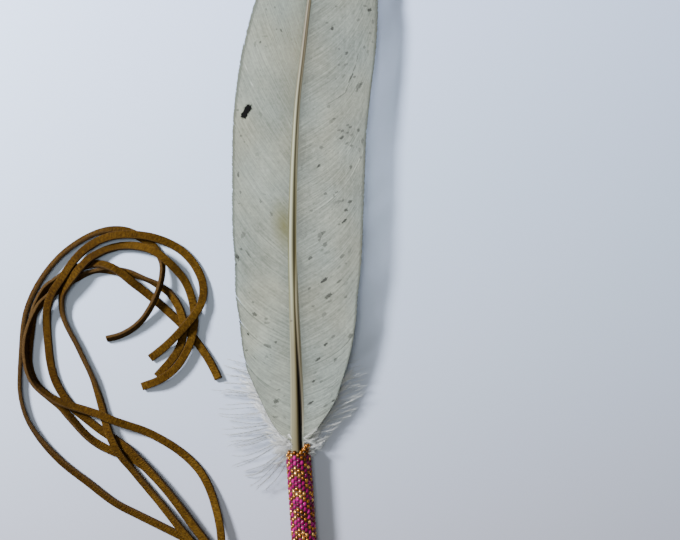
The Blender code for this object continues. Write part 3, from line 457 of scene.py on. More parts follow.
def smooth_route(points, step):
    """Points about a step apart on the smooth curve through the route's own points."""
    spans = [(Vector(b[:3]) - Vector(a[:3])).length for a, b in zip(points, points[1:])]
    last = len(points) - 1
    slopes = []
    for i, here in enumerate(points):
        before, after = points[max(i - 1, 0)], points[min(i + 1, last)]
        lead = spans[i - 1] if i else spans[0]
        follow = spans[i] if i < last else spans[-1]
        slopes.append([((h - b) / lead * follow + (a - h) / follow * lead) / (lead + follow)
                       for b, h, a in zip(before, here, after)])
    fine = []
    for i, span in enumerate(spans):
        for k in range(FINE_STEPS):
            t = k / FINE_STEPS
            fine.append(tuple(
                (1 + 2 * t) * (1 - t) ** 2 * p + t * (1 - t) ** 2 * span * m
                + t * t * (3 - 2 * t) * q - t * t * (1 - t) * span * n
                for p, m, q, n in zip(points[i], slopes[i], points[i + 1], slopes[i + 1])))
    fine.append(points[-1])
    along = run_lengths([Vector(point[:3]) for point in fine])
    count = round(along[-1] / step)
    result = []
    k = 0
    for n in range(count + 1):
        wanted = along[-1] * n / count
        while k < len(along) - 2 and along[k + 1] < wanted:
            k += 1
        t = (wanted - along[k]) / (along[k + 1] - along[k])
        result.append(tuple(p + (q - p) * t for p, q in zip(fine[k], fine[k + 1])))
    return result


def bent_line(start, bend, end, count):
    """Points on the curve from start to end that leans toward bend."""
    shares = [k / count for k in range(count + 1)]
    return [start * (1 - t) ** 2 + bend * (2 * t * (1 - t)) + end * t * t for t in shares]


def mesh_piece(bm, name):
    """Keeps a drawn shape as a mesh under a name."""
    mesh = bpy.data.meshes.new(name)
    bm.to_mesh(mesh)
    bm.free()
    return mesh


def add_copy(bm, mesh):
    """Adds a copy of a small mesh and returns the copy's corners."""
    done = len(bm.verts)
    bm.from_mesh(mesh)
    bm.verts.ensure_lookup_table()
    return bm.verts[done:]


def finish_piece(bm, name, finish, smooth=True):
    """Makes the drawn shape a piece of the model, in its place, riding on the feather's body."""
    bmesh.ops.scale(bm, verts=bm.verts, vec=(MM, MM, MM))
    bmesh.ops.translate(bm, verts=bm.verts, vec=ORIGIN)
    mesh = mesh_piece(bm, name)
    if smooth:
        mesh.shade_smooth()
    mesh.materials.append(finish)
    piece = bpy.data.objects.new(name, mesh)
    bpy.context.scene.collection.objects.link(piece)
    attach(piece, "root")
    return piece


class Finish:
    """A material under construction: its nodes are added in a row and linked by name."""

    def __init__(self, name):
        self.made = bpy.data.materials.new(name)
        self.made.use_nodes = True
        self.nodes = self.made.node_tree.nodes
        self.links = self.made.node_tree.links
        self.shader = self.nodes["Principled BSDF"]

    def add(self, kind, inputs=(), **settings):
        node = self.nodes.new(kind)
        for key, value in settings.items():
            setattr(node, key, value)
        for key, value in dict(inputs).items():
            if isinstance(value, bpy.types.NodeSocket):
                self.links.new(value, node.inputs[key])
            else:
                node.inputs[key].default_value = value
        return node

    def maths(self, operation, a, b=0.0, c=0.0):
        return self.add("ShaderNodeMath", {0: a, 1: b, 2: c}, operation=operation).outputs[0]

    def plus(self, a, b):
        return self.maths("ADD", a, b)

    def times(self, a, b):
        return self.maths("MULTIPLY", a, b)

    def scaled(self, a, factor, shift):
        return self.maths("MULTIPLY_ADD", a, factor, shift)

    def noise(self, vector, scale, detail=2.0, roughness=0.5):
        made = self.add("ShaderNodeTexNoise", {"Vector": vector, "Scale": scale, "Detail": detail,
                                               "Roughness": roughness})
        return made.outputs["Fac"]

    def ramp(self, fac, *stops):
        node = self.add("ShaderNodeValToRGB", {"Fac": fac})
        cells = node.color_ramp.elements
        while len(cells) < len(stops):
            cells.new(0.5)
        for cell, (place, colour) in zip(cells, stops):
            cell.position = place
            cell.color = (*colour, 1.0)
        return node.outputs["Color"]

    def grade(self, fac, low, high):
        """0 at low, 1 at high and even between them."""
        node = self.add("ShaderNodeMapRange", {"Value": fac, "From Min": low, "From Max": high})
        return node.outputs["Result"]

    def mix(self, fac, a, b, blend="MIX"):
        node = self.add("ShaderNodeMix", data_type="RGBA", blend_type=blend)
        for socket, value in ((node.inputs[0], fac), (node.inputs[6], a), (node.inputs[7], b)):
            if isinstance(value, bpy.types.NodeSocket):
                self.links.new(value, socket)
            elif isinstance(value, tuple):
                socket.default_value = (*value, 1.0)
            else:
                socket.default_value = value
        return node.outputs[2]

    def attribute(self, name):
        return self.add("ShaderNodeAttribute", attribute_name=name).outputs["Vector"]

    def split(self, vector):
        return self.add("ShaderNodeSeparateXYZ", {"Vector": vector}).outputs

    def join(self, x, y, z):
        return self.add("ShaderNodeCombineXYZ", {"X": x, "Y": y, "Z": z}).outputs["Vector"]

    def drawing_place(self):
        """The place on the object in the drawing's millimetres."""
        here = self.add("ShaderNodeTexCoord").outputs["Object"]
        node = self.add("ShaderNodeVectorMath", {0: here, 1: ORIGIN}, operation="SUBTRACT")
        scaled = self.add("ShaderNodeVectorMath", {0: node.outputs[0]}, operation="SCALE")
        scaled.inputs["Scale"].default_value = 1 / MM
        return scaled.outputs[0]

    def bump(self, height, strength, distance):
        node = self.add("ShaderNodeBump", {"Height": height, "Strength": strength, "Distance": distance})
        self.links.new(node.outputs["Normal"], self.shader.inputs["Normal"])

    def colour(self, socket):
        self.links.new(socket, self.shader.inputs["Base Color"])

    def set(self, **values):
        for key, value in values.items():
            self.shader.inputs[key.replace("_", " ")].default_value = value
        return self.made


def add_camera():
    """Looks straight down on the photo's middle."""
    middle = [(size / 2 - top) * MM_PER_PIXEL * MM for size, top in zip(PHOTO_SIZE, SLEEVE_TOP_PIXEL)]
    data = bpy.data.cameras.new("camera")
    data.sensor_width = SENSOR
    data.lens = SENSOR * CAMERA_DISTANCE / (PHOTO_SIZE[0] * MM_PER_PIXEL * MM)
    data.clip_start = 0.01
    camera = bpy.data.objects.new("camera", data)
    camera.location = (ORIGIN.x + middle[0], ORIGIN.y - middle[1], CAMERA_DISTANCE)
    bpy.context.scene.collection.objects.link(camera)
    bpy.context.scene.camera = camera


def add_light(name, from_middle, size, watts, colour):
    """A round light that shines on the picture's middle."""
    over = bpy.context.scene.camera.location
    middle = Vector((over.x, over.y, 0.0))
    data = bpy.data.lights.new(name, "AREA")
    data.shape = "DISK"
    data.size = size
    data.energy = watts
    data.color = colour
    light = bpy.data.objects.new(name, data)
    light.location = middle + Vector(from_middle)
    light.rotation_euler = (-Vector(from_middle)).to_track_quat("-Z", "Y").to_euler()
    bpy.context.scene.collection.objects.link(light)


def add_floor():
    """A pale floor, bluer toward the picture's upper edge and lighter there, as painted light falloff."""
    pale = Finish("pale_floor")
    up = pale.split(pale.drawing_place())[1]
    pale.colour(pale.ramp(pale.grade(up, *FLOOR_SPAN), *FLOOR_TINT_AND_FALLOFF))
    bm = bmesh.new()
    bmesh.ops.create_grid(bm, x_segments=1, y_segments=1, size=FLOOR_SIZE)
    mesh = mesh_piece(bm, "floor")
    mesh.materials.append(pale.set(Roughness=0.6))
    floor = bpy.data.objects.new("floor", mesh)
    bpy.context.scene.collection.objects.link(floor)


def add_studio():
    """The floor, a low key light from the left, a broad one overhead and a pale sky."""
    add_floor()
    for name, settings in LIGHTS.items():
        add_light(name, *settings)
    world = bpy.data.worlds.new("sky")
    world.use_nodes = True
    backdrop = world.node_tree.nodes["Background"]
    backdrop.inputs["Color"].default_value = SKY_COLOUR
    backdrop.inputs["Strength"].default_value = SKY_STRENGTH
    bpy.context.scene.world = world


def suede_finish():
    """Napped golden-brown suede, lighter where it is cut and darker toward the coil's left side."""
    suede = Finish("golden_brown_suede")
    along, across, cut = suede.split(suede.attribute("lace"))
    place = suede.drawing_place()
    slanted = suede.plus(along, suede.times(across, 0.25))
    nap = suede.noise(suede.join(suede.times(slanted, 2.2), suede.times(across, 0.55), 0.0), 1.0, 2.0, 0.6)
    patches = suede.noise(suede.join(suede.times(along, 0.05), 0.0, 0.0), 1.0, 1.0)
    fibres = suede.noise(place, 2.5, 3.0, 0.7)
    tone = suede.plus(suede.times(nap, 0.50), suede.times(patches, 0.20))
    tone = suede.plus(tone, suede.times(fibres, 0.45))
    pale = suede.grade(suede.split(place)[0], -112.0, -30.0)
    tone = suede.plus(tone, suede.scaled(pale, 0.12, -0.155))
    face = suede.ramp(tone, (0.36, (0.016, 0.006, 0.0006)), (0.50, (0.040, 0.019, 0.0018)),
                      (0.64, (0.088, 0.046, 0.006)))
    side = suede.ramp(fibres, (0.3, (0.016, 0.007, 0.002)), (0.7, (0.065, 0.037, 0.013)))
    suede.colour(suede.mix(cut, face, side))
    suede.bump(suede.plus(nap, fibres), 0.9, 0.0005)
    return suede.set(Roughness=0.95, Specular_IOR_Level=0.05)


def bundle_route(lane, layer):
    """A lace's way out of the wrap, round the loop and back beside the handle."""
    start = DOWN_HANDLE * (SLEEVE_LENGTH + GAP + WRAP_LENGTH + GAP)
    offset = lane * LANE
    high = AXIS_HEIGHT + (layer - 1) * LAYER
    low = FLOOR_LACE + layer * LAYER
    points = []
    for share in (0.0, 0.45, 1.0):
        here = start + DOWN_HANDLE * (LOOP_RUN * share) + ACROSS_HANDLE * offset
        height = high + (low - high) * LOOP_DROP * share * share
        points.append((here.x, here.y, height, 0.0))
    centre = start + DOWN_HANDLE * LOOP_RUN - ACROSS_HANDLE * LOOP_RADIUS
    radius = LOOP_RADIUS + offset
    for degrees in (30, 60, 90, 120, 150, 180):
        angle = math.radians(degrees)
        here = centre + ACROSS_HANDLE * (radius * math.cos(angle))
        here += DOWN_HANDLE * (radius * math.sin(angle))
        height = low + (high - low) * (1 - LOOP_DROP) * max(1 - degrees / 60, 0.0) ** 2
        points.append((here.x, here.y, height, 0.0))
    return points


def lace_outline(bm):
    """A flat lace's cut end in X and Z: a circle drawn out to a rectangle with round corners."""
    face = first_end(bm, OUTLINE_SIDES)
    for vert in face.verts:
        x, z, _ = vert.co
        vert.co.x = math.copysign(abs(x) ** OUTLINE_ROUND, x) * SUEDE_WIDTH / 2
        vert.co.z = math.copysign(abs(z) ** OUTLINE_ROUND, z) * SUEDE_THICKNESS / 2
        vert.co.y = 0.0
    return face


def suede_lace(name, seed, finish):
    """One lace: its cut end, drawn out ring by ring along the route and rolled as it goes."""
    route = bundle_route(*LACE_PLACES[name]) + LACE_ROUTES[name]
    points = smooth_route(route, SUEDE_STEP)
    centres = []
    for x, y, z, roll in points:
        half = LACE_THICKNESS / 2 + (LACE_WIDTH - LACE_THICKNESS) / 2 * abs(math.sin(math.radians(roll)))
        centres.append(Vector((x, y, max(z, half + FLOOR_GAP))))
    bm = bmesh.new()
    coat = bm.verts.layers.float_vector.new("lace")
    face = lace_outline(bm)
    shape = [v.co.copy() for v in face.verts]
    for i, (here, ahead, run) in enumerate(zip(centres, directions(centres), run_lengths(centres))):
        if i:
            face = draw_out(bm, face)
        side = ahead.cross(Vector((0, 0, 1))).normalized()
        roll = math.radians(points[i][3])
        up = side.cross(ahead)
        across = side * math.cos(roll) + up * math.sin(roll)
        over = up * math.cos(roll) - side * math.sin(roll)
        for vert, (sx, _, sz) in zip(face.verts, shape):
            rough = noise.noise(Vector((run * 0.9, sx * 2.0 + 40 * seed, sz * 2.0)))
            swell = 1.0 + EDGE_SWELL * noise.noise(Vector((run * 0.25, 7.0 * seed, math.copysign(3.0, sx))))
            vert.co = here + across * (sx * swell) + over * (sz + NAP_HEIGHT * rough)
            edge = max((abs(sx) - SUEDE_WIDTH / 2) / CUT_EDGE + 1.0, 0.0)
            vert[coat] = (run + 100 * seed, sx + sz * 0.7, min(edge, 1.0))
    bmesh.ops.recalc_face_normals(bm, faces=bm.faces)
    piece = finish_piece(bm, name + "_suede", finish)
    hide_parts(name)
    return piece


def add_laces():
    finish = suede_finish()
    for seed, name in enumerate(LACE_ROUTES, 1):
        suede_lace(name, seed, finish)


def barb_place(side, root, share):
    """The place on a vane, a share of the way along the barb that leaves the shaft at root."""
    edge, reaches, rise = VANE_SHAPE[side]
    x0, height, width, depth = table(SHAFT, root)
    reach, straight = table(reaches, root)
    y1 = min(root + reach, edge[-1][0])
    x1 = table(edge, y1)[0]
    lift = table(rise, y1)[0]
    climb = straight * share + (1 - straight) * share ** BARB_TURN
    start = side * width * BARB_START
    wave = EDGE_WAVE * share * noise.noise(Vector((root * 0.07, share * 1.6, 5.0 * side)))
    return Vector((x0 + start + (x1 - x0 - start) * share, root + (y1 - root) * climb,
                   height + BARB_ROOT[side] * depth + lift * share ** RISE_BEND + wave))


def barb_blade():
    """A straight barb along X: a thin web with a ridge along its middle, closed at both ends."""
    bm = bmesh.new()
    tip = first_end(bm, len(BARB_SECTION))
    for vert, (across, up) in zip(bm.verts, BARB_SECTION):
        vert.co = (0.0, across, up)
    for _ in BARB_RINGS[1:]:
        tip = draw_out(bm, tip)
        bmesh.ops.translate(bm, verts=tip.verts, vec=(1.0, 0, 0))
    bmesh.ops.recalc_face_normals(bm, faces=bm.faces)
    return mesh_piece(bm, "barb_blade")


def parted(side, root, share):
    """How far a barb is pushed along the feather by the splits near it, and how near they are."""
    push = near = 0.0
    for split_root, gap in SPLITS[side]:
        away = root - split_root
        fade = math.exp(-abs(away) / SPLIT_SPREAD)
        push += math.copysign(SPLIT_OPEN * gap / 2, away) * fade * share ** 6
        # near carries the painted shadow below a split and the painted light above it
        near += min(gap, 2.0) / 2 * math.exp(-abs(away) / SPLIT_REACH) * (1.0 if away < 0 else SPLIT_LIGHT)
    return push, near * share ** 0.7


def barb_line(side, root, short, tone):
    """The places of a barb's rings, the way from each to the next barb's and how light each is."""
    line = []
    beside = []
    shade = []
    for share in BARB_RINGS:
        push, near = parted(side, root, share)
        here = barb_place(side, root, short * share)
        line.append(here + Vector((0, push, 0)))
        beside.append(barb_place(side, root + BARB_PITCH[side], short * share) - here)
        light = tone * BARB_TONE - SPLIT_SHADE * near - ROOT_SHADE[side] * math.exp(-share * ROOT_FADE)
        shade.append(light - (TIP_SHADE if share > 0.97 else 0.0))
    return line, beside, shade


def vane(side, *finishes):
    """One vane: a row of single barbs, each lapping over the next like a tile."""
    dice = random.Random(11 + side)
    blade = barb_blade()
    bm = bmesh.new()
    coat = bm.verts.layers.float_vector.new("barb")
    pitch = BARB_PITCH[side]
    count = int((VANE_TIP - VANE_FOOT) / pitch)
    for n in range(count + 1):
        root = VANE_FOOT + (VANE_TIP - VANE_FOOT) * n / count
        tone = dice.uniform(-0.5, 0.5)
        bow = dice.uniform(-BARB_BOW, BARB_BOW)
        short = 1.0 - abs(dice.gauss(0.0, BARB_SHORT))
        tilt = BARB_TILT * (1.0 + 1.2 * noise.noise(Vector((root * 0.9, 3.0, 9.0 * side))))
        line, beside, shade = barb_line(side, root, short, tone)
        ahead = directions(line)
        run = run_lengths(line)
        corners = add_copy(bm, blade)
        if len(finishes) > 1 and root > MARK_BREAK:
            bm.faces.ensure_lookup_table()
            for face in bm.faces[-len(blade.polygons):]:
                face.material_index = 1
        for vert in corners:
            k = round(vert.co.x)
            share = BARB_RINGS[k]
            across = ahead[k].cross(Vector((0, 0, side))).normalized()
            slant = max(abs(across.dot(beside[k])) / pitch, LEAST_LAP)
            half = pitch * slant * BARB_LAP / 2 * (1.0 if share < BARB_TIP else 0.6)
            out = vert.co.y * half
            lift = vert.co.z * (1.0 - 0.45 * share) - vert.co.y * tilt
            sway = bow * slant * math.sin(math.pi * share) * share
            vert.co = line[k] + across * (out + sway) + Vector((0, 0, lift))
            vert[coat] = (root - out / slant, run[k], shade[k])
    bpy.data.meshes.remove(blade)
    piece = finish_piece(bm, "vane_" + SIDE_NAME[side], finishes[0])
    for finish in finishes[1:]:
        piece.data.materials.append(finish)
    piece.data.set_sharp_from_angle(angle=SHARP_ANGLE)
    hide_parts("feather")
    return piece


def add_flecks(barbs, under, root, run, side, place, width, length, limits):
    """Dark flecks strewn along the barbs, some fainter than others."""
    sway = barbs.times(barbs.noise(place, 1.3, 2.0), 0.5)
    cell_place = barbs.join(barbs.plus(barbs.times(root, 1.2 / width), sway),
                            barbs.plus(barbs.times(run, 1 / length), sway), float(side))
    cells = barbs.add("ShaderNodeTexVoronoi", {"Vector": cell_place, "Scale": 1.0, "Randomness": 1.0})
    chance, size, depth = barbs.split(cells.outputs["Color"])
    gathered = barbs.plus(chance, barbs.times(barbs.noise(place, 0.07, 2.0), FLECK_GATHER))
    keep = barbs.maths("GREATER_THAN", gathered, limits[side])
    reach = barbs.plus(barbs.times(size, 0.17), 0.10)
    spot = barbs.grade(barbs.maths("SUBTRACT", reach, cells.outputs["Distance"]), -0.10, 0.08)
    dark = barbs.times(barbs.times(spot, keep), barbs.scaled(depth, 0.45, 0.12))
    return barbs.mix(dark, under, FLECK_COLOUR)


def vane_finish(name, side, marks):
    """Grey-white barbs with dark flecks that run along them."""
    barbs = Finish(name)
    root, run, shade = barbs.split(barbs.attribute("barb"))
    place = barbs.drawing_place()
    streaks = barbs.noise(barbs.join(barbs.times(root, 1.1), barbs.times(run, 0.10), 0.0), 1.0, 4.0, 0.65)
    light = barbs.plus(barbs.times(streaks, 0.45), barbs.times(barbs.noise(place, 0.06, 3.0), 0.30))
    light = barbs.plus(light, barbs.times(barbs.noise(place, 0.8, 3.0, 0.6), 0.25))
    light = barbs.plus(light, barbs.times(shade, 0.5))
    # The right vane's darker colours are painted shade
    base = barbs.ramp(light, *zip((0.34, 0.50, 0.66), VANE_COLOURS_AND_SHADE[side]))
    tint = barbs.ramp(barbs.noise(place, 0.035, 2.0), (0.35, (1.0, 0.97, 0.88)), (0.65, (0.95, 1.0, 1.0)))
    base = barbs.mix(1.0, base, tint, "MULTIPLY")
    if side < 0:
        base = add_mark(barbs, base, place, *STAIN)
        base = add_mark(barbs, base, place, *WARM_STRIP)
        for crack in CRACKS:
            base = add_mark(barbs, base, place, *crack, CRACK_COLOUR)
    for flecks in (FINE_FLECKS, BOLD_FLECKS):
        base = add_flecks(barbs, base, root, run, side, place, *flecks)
    rough = barbs.scaled(barbs.noise(place, 1.6, 3.0), 1.7, -0.85)
    for mark in marks:
        base = add_mark(barbs, base, place, *mark, MARK_COLOUR, rough)
    if side < 0:
        rough = barbs.scaled(barbs.noise(place, 1.5, 2.0), 1.0, -0.45)
        for lobe in BLOT:
            base = add_mark(barbs, base, place, *lobe, BLOT_COLOUR, rough)
    barbs.colour(base)
    fine = barbs.noise(barbs.join(barbs.times(root, 3.0), barbs.times(run, 9.0), 0.0), 1.0, 2.0)
    barbs.bump(fine, 0.35, 0.0001)
    return barbs.set(Roughness=0.85, Specular_IOR_Level=0.06)


def add_mark(finish, under, place, px, py, length, width, turn, depth, colour, rough=None):
    """A mark at a place of the photo, longest along its turn in degrees; not rough, it is soft."""
    middle = [size / 2 for size in PHOTO_SIZE]
    x = (middle[0] + (px - middle[0]) * SEEN - SLEEVE_TOP_PIXEL[0]) * MM_PER_PIXEL
    y = (SLEEVE_TOP_PIXEL[1] - middle[1] - (py - middle[1]) * SEEN) * MM_PER_PIXEL
    local = finish.add("ShaderNodeMapping", {"Vector": place, "Location": (x, y, 0.0),
                                             "Rotation": (0.0, 0.0, math.radians(turn)),
                                             "Scale": (length / 2, width / 2, 1000.0)}, vector_type="TEXTURE")
    reach = finish.add("ShaderNodeVectorMath", {0: local.outputs[0]}, operation="LENGTH").outputs["Value"]
    if rough:
        inside = finish.grade(finish.plus(reach, rough), 1.15, 0.80)
    else:
        inside = finish.grade(reach, 1.0, 0.0)
    return finish.mix(finish.times(inside, depth), under, colour)


def shaft(finish):
    """The quill and the shaft, with a groove along its upper side, drawn out ring by ring."""
    bm = bmesh.new()
    coat = bm.verts.layers.float_vector.new("horn")
    face = first_end(bm, SHAFT_SIDES)
    low, high = SHAFT[0][0], SHAFT[-1][0]
    count = int((high - low) / SHAFT_STEP)
    for n in range(count + 1):
        if n:
            face = draw_out(bm, face)
        y = low + (high - low) * n / count
        x, height, width, depth = table(SHAFT, y)
        middle, half, deep = table(GROOVE, y)
        blunt = min(1.0, QUILL_BLUNT + (y - low) / 5.0)
        for k, vert in enumerate(face.verts):
            turn = k / SHAFT_UPPER
            if k >= SHAFT_UPPER:
                turn = 1 + (k - SHAFT_UPPER) / (SHAFT_SIDES - SHAFT_UPPER)
            across, up = math.cos(math.pi * turn), math.sin(math.pi * turn)
            dip = math.exp(-((across - middle) / half) ** 2) if up > 0 else 0.0
            z = height + depth / 2 * up * blunt - deep * depth * dip
            vert.co = (x + width / 2 * across * blunt, y, z)
            vert[coat] = (across, y, dip)
    bmesh.ops.recalc_face_normals(bm, faces=bm.faces)
    return finish_piece(bm, "shaft", finish)


def shaft_finish():
    """Cream horn on the left ridge, tan on the right one and a groove between them that is dark with its own
    brown and with painted shade; the right flank gets painted light.
    """
    horn = Finish("cream_and_tan_horn")
    across, y, dip = horn.split(horn.attribute("horn"))
    streaks = horn.noise(horn.join(horn.times(across, 2.6), horn.times(y, 0.012), 0.0), 1.6, 3.0, 0.6)
    place = horn.scaled(across, 0.5, 0.5)
    # The horn ramps end in painted light on the right flank
    colour = horn.mix(horn.grade(y, 42.0, 66.0), horn.ramp(place, *LOW_HORN_AND_FLANK_LIGHT), horn.ramp(place, *MIDDLE_HORN_AND_FLANK_LIGHT))
    colour = horn.mix(horn.grade(y, 120.0, 165.0), colour, horn.ramp(place, *HIGH_HORN_AND_FLANK_LIGHT))
    streak = horn.ramp(streaks, (0.3, (0.84, 0.82, 0.76)), (0.7, (1.0, 1.0, 1.0)))
    colour = horn.mix(1.0, colour, streak, "MULTIPLY")
    edge = horn.grade(across, -0.72, -0.95)
    olive = horn.grade(horn.maths("ABSOLUTE", horn.maths("SUBTRACT", y, OLIVE_EDGE)), 14.0, 6.0)
    colour = horn.mix(horn.times(edge, olive), colour, OLIVE_COLOUR)
    # The groove's darkness is partly painted shade
    dark = horn.ramp(horn.grade(y, 0.0, GROOVE_END), *GROOVE_COLOUR_AND_SHADE)
    colour = horn.mix(horn.grade(dip, 0.25, 0.62), colour, dark)
    horn.colour(add_mark(horn, colour, horn.drawing_place(), *SHAFT_SPECK))
    return horn.set(Roughness=0.5, Specular_IOR_Level=0.2)


def spike():
    """A fine three-sided hair along X, closed at both ends."""
    bm = bmesh.new()
    bmesh.ops.create_cone(bm, cap_ends=True, segments=3, radius1=1.0, radius2=0.25, depth=1.0)
    bmesh.ops.rotate(bm, verts=bm.verts, cent=(0, 0, 0), matrix=Matrix.Rotation(math.pi / 2, 3, "Y"))
    bmesh.ops.translate(bm, verts=bm.verts, vec=(0.5, 0, 0))
    return mesh_piece(bm, "down_hair")


def add_hairs(bm, hair, lines):
    """Lays a hair along each line: start, end, radius and tone."""
    coat = bm.verts.layers.float_vector.new("fluff")
    for start, end, radius, tone in lines:
        along = end - start
        turn = along.to_track_quat("X", "Z").to_matrix()
        for vert in add_copy(bm, hair):
            x, y, z = vert.co
            vert.co = start + turn @ Vector((x * along.length, y * radius, z * radius))
            vert[coat] = (tone, 0.0, 0.0)


def down_barb(side, dice, share, reach, root):
    """The bent line of one down barb from the shaft to its tip, a share of the way round the fan."""
    x0, height, width, _ = table(SHAFT, root)
    tip = Vector(table(DOWN_FAN[side], min(max(share + dice.uniform(-0.03, 0.03), 0.0), 1.0)))
    start = Vector((x0 + side * 0.3 * width, root, height + dice.uniform(-1.6, 0.6 - 0.08 * root)))
    tip = start + (Vector((tip.x, tip.y, 0.0)) - start) * reach
    tip.z = dice.uniform(0.5, 5.5)
    rise = 1.0 - 2.4 * share + dice.uniform(-1.2, 1.2)
    middle = start.lerp(tip, 0.55) + Vector((0, 2.5 * rise, dice.uniform(-0.5, 1.5)))
    wander = dice.uniform(0.0, 6.0)
    points = bent_line(start, middle, tip, DOWN_RINGS)
    for k, here in enumerate(points):
        t = k / DOWN_RINGS
        here += Vector((0, math.sin(t * 8 + wander) * 0.5 * t, math.cos(t * 7 + wander) * 0.3 * t))
        here.z = max(here.z, 0.3)
    return points


def foot_tuft(side, dice):
    """A short tuft over the foot of a vane."""
    root = dice.uniform(*TUFT_ROOTS)
    x0, height, width, _ = table(SHAFT, root)
    start = Vector((x0 + side * dice.uniform(0.3, 0.7) * width, root, height + dice.uniform(0.5, 2.6)))
    end = start + Vector((side * dice.uniform(2.0, 7.5), dice.uniform(-4.0, 5.0), dice.uniform(-2.5, 0.8)))
    bend = start.lerp(end, 0.5) + Vector((0, dice.uniform(-1.0, 1.0), 0.6))
    return bent_line(start, bend, end, DOWN_RINGS)


def edge_tuft(side, dice, root):
    """A soft barb that leaves a vane's lower edge."""
    x0, height, _, _ = table(SHAFT, root)
    x1 = table(VANE_SHAPE[side][0], root)[0] * (1.0 if root > 4.4 else 0.7)
    start = Vector((x0 + (x1 - x0) * dice.uniform(0.70, 0.97), root, height + dice.uniform(0.2, 1.2)))
    climb = dice.uniform(0.1, 0.9) if side < 0 else dice.uniform(0.5, 1.5)
    end = start + Vector((side, climb, 0.0)).normalized() * dice.uniform(3.0, 8.0)
    end.z = max(start.z + dice.uniform(-2.0, 0.6), 0.4)
    return bent_line(start, start.lerp(end, 0.5) + Vector((side * 0.8, -0.6, 0.4)), end, DOWN_RINGS)


def down_hairs(side, dice, points, fullness):
    """The lines of one down barb: its own core and the hairs along both its sides."""
    lines = []
    long = fullness == 1.0
    dense = fullness > TUFT_FULLNESS and side < 0
    thick = DOWN_CORE[side] * (1.0 if long else 0.5)
    for k, (a, b) in enumerate(zip(points, points[1:])):
        t = k / DOWN_RINGS
        lines.append((a, b, thick * (1 - 0.6 * t), DOWN_CORE_SHADE[side] if long else 1.0))
        ahead = (b - a).normalized()
        aside = ahead.cross(Vector((0, 0, 1))).normalized()
        for hand in (-1, 1, -1, 1, -1, 1) if k and dense else (-1, 1, -1):
            begin = a.lerp(b, dice.random())
            length = (0.7 + 1.2 * math.sin(math.pi * min(t * 0.9 + 0.1, 1.0))) * dice.uniform(0.6, 1.2)
            lean = dice.uniform(0.8, 2.2)
            away = ahead * lean + aside * hand * 0.6 + Vector((0, 0, dice.uniform(-0.4, 0.4)))
            end = begin + away * (length * 0.7)
            end.z = max(end.z, 0.15)
            lines.append((begin, end, DOWN_HAIR[side], HAIR_TONE[side]))
    return lines


def down(side, finish):
    """Loose down at the foot of one vane: bent barbs with fine hairs along both sides."""
    dice = random.Random(5 + side)
    hair = spike()
    top, foot = DOWN_ROOTS[side]
    barbs = []
    for count, reach in ((DOWN_BARBS[side], DOWN_REACH), (DOWN_WISPS[side], WISP_REACH)):
        for n in range(count):
            share = (n + dice.random()) / count
            root = top + (foot - top) * share
            barbs.append((down_barb(side, dice, share, dice.uniform(*reach), root), reach[1]))
    for n in range(DOWN_TUFTS[side]):
        barbs.append((foot_tuft(side, dice), TUFT_FULLNESS))
    for n in range(DOWN_EDGE):
        root = EDGE_START + EDGE_LENGTH * (n + dice.random()) / DOWN_EDGE
        barbs.append((edge_tuft(side, dice, root), EDGE_FULLNESS))
    lines = []
    for points, fullness in barbs:
        lines += down_hairs(side, dice, points, fullness)
    bm = bmesh.new()
    add_hairs(bm, hair, lines)
    bpy.data.meshes.remove(hair)
    return finish_piece(bm, "down_" + SIDE_NAME[side], finish, smooth=False)


def down_finish():
    fluff = Finish("white_down")
    tone = fluff.split(fluff.attribute("fluff"))[0]
    # The grey lower half of the ramp is painted shade on the barbs' cores
    fluff.colour(fluff.ramp(tone, (0.0, (0.13, 0.14, 0.13)), (0.5, (0.30, 0.31, 0.30)),
                            (1.0, (0.50, 0.50, 0.49))))
    return fluff.set(Roughness=0.8, Specular_IOR_Level=0.1)


def turn_to_handle(bm):
    """Turns a shape drawn along Z, its feather end at the origin, onto the handle's axis."""
    for vert in bm.verts:
        x, y, z = vert.co
        vert.co = ACROSS_HANDLE * x - DOWN_HANDLE * z + Vector((0, 0, AXIS_HEIGHT - y))


def one_bead():
    """A seed bead, its hole along Y: a rounded ring, spun from half of its section."""
    bm = bmesh.new()
    section = [bm.verts.new((x, y, 0.0)) for x, y in BEAD_SECTION]
    edges = [bm.edges.new(pair) for pair in zip(section, section[1:] + section[:1])]
    bmesh.ops.spin(bm, geom=section + edges, axis=(0, 1, 0), cent=(0, 0, 0), angle=2 * math.pi,
                   steps=BEAD_SIDES, use_merge=True)
    bmesh.ops.remove_doubles(bm, verts=bm.verts, dist=0.001)
    bmesh.ops.recalc_face_normals(bm, faces=bm.faces)
    return mesh_piece(bm, "seed_bead")


def bead_colour(from_peak, row):
    """Gold or magenta, from the zigzag of the weave."""
    level = row + 0.5 * (from_peak % 2) - ZIGZAG[from_peak % BEAD_COLUMNS] - PEAK_ROW
    return "gold" if row < 1 or level % BEAD_PERIOD < BEAD_PERIOD / 2 else "magenta"


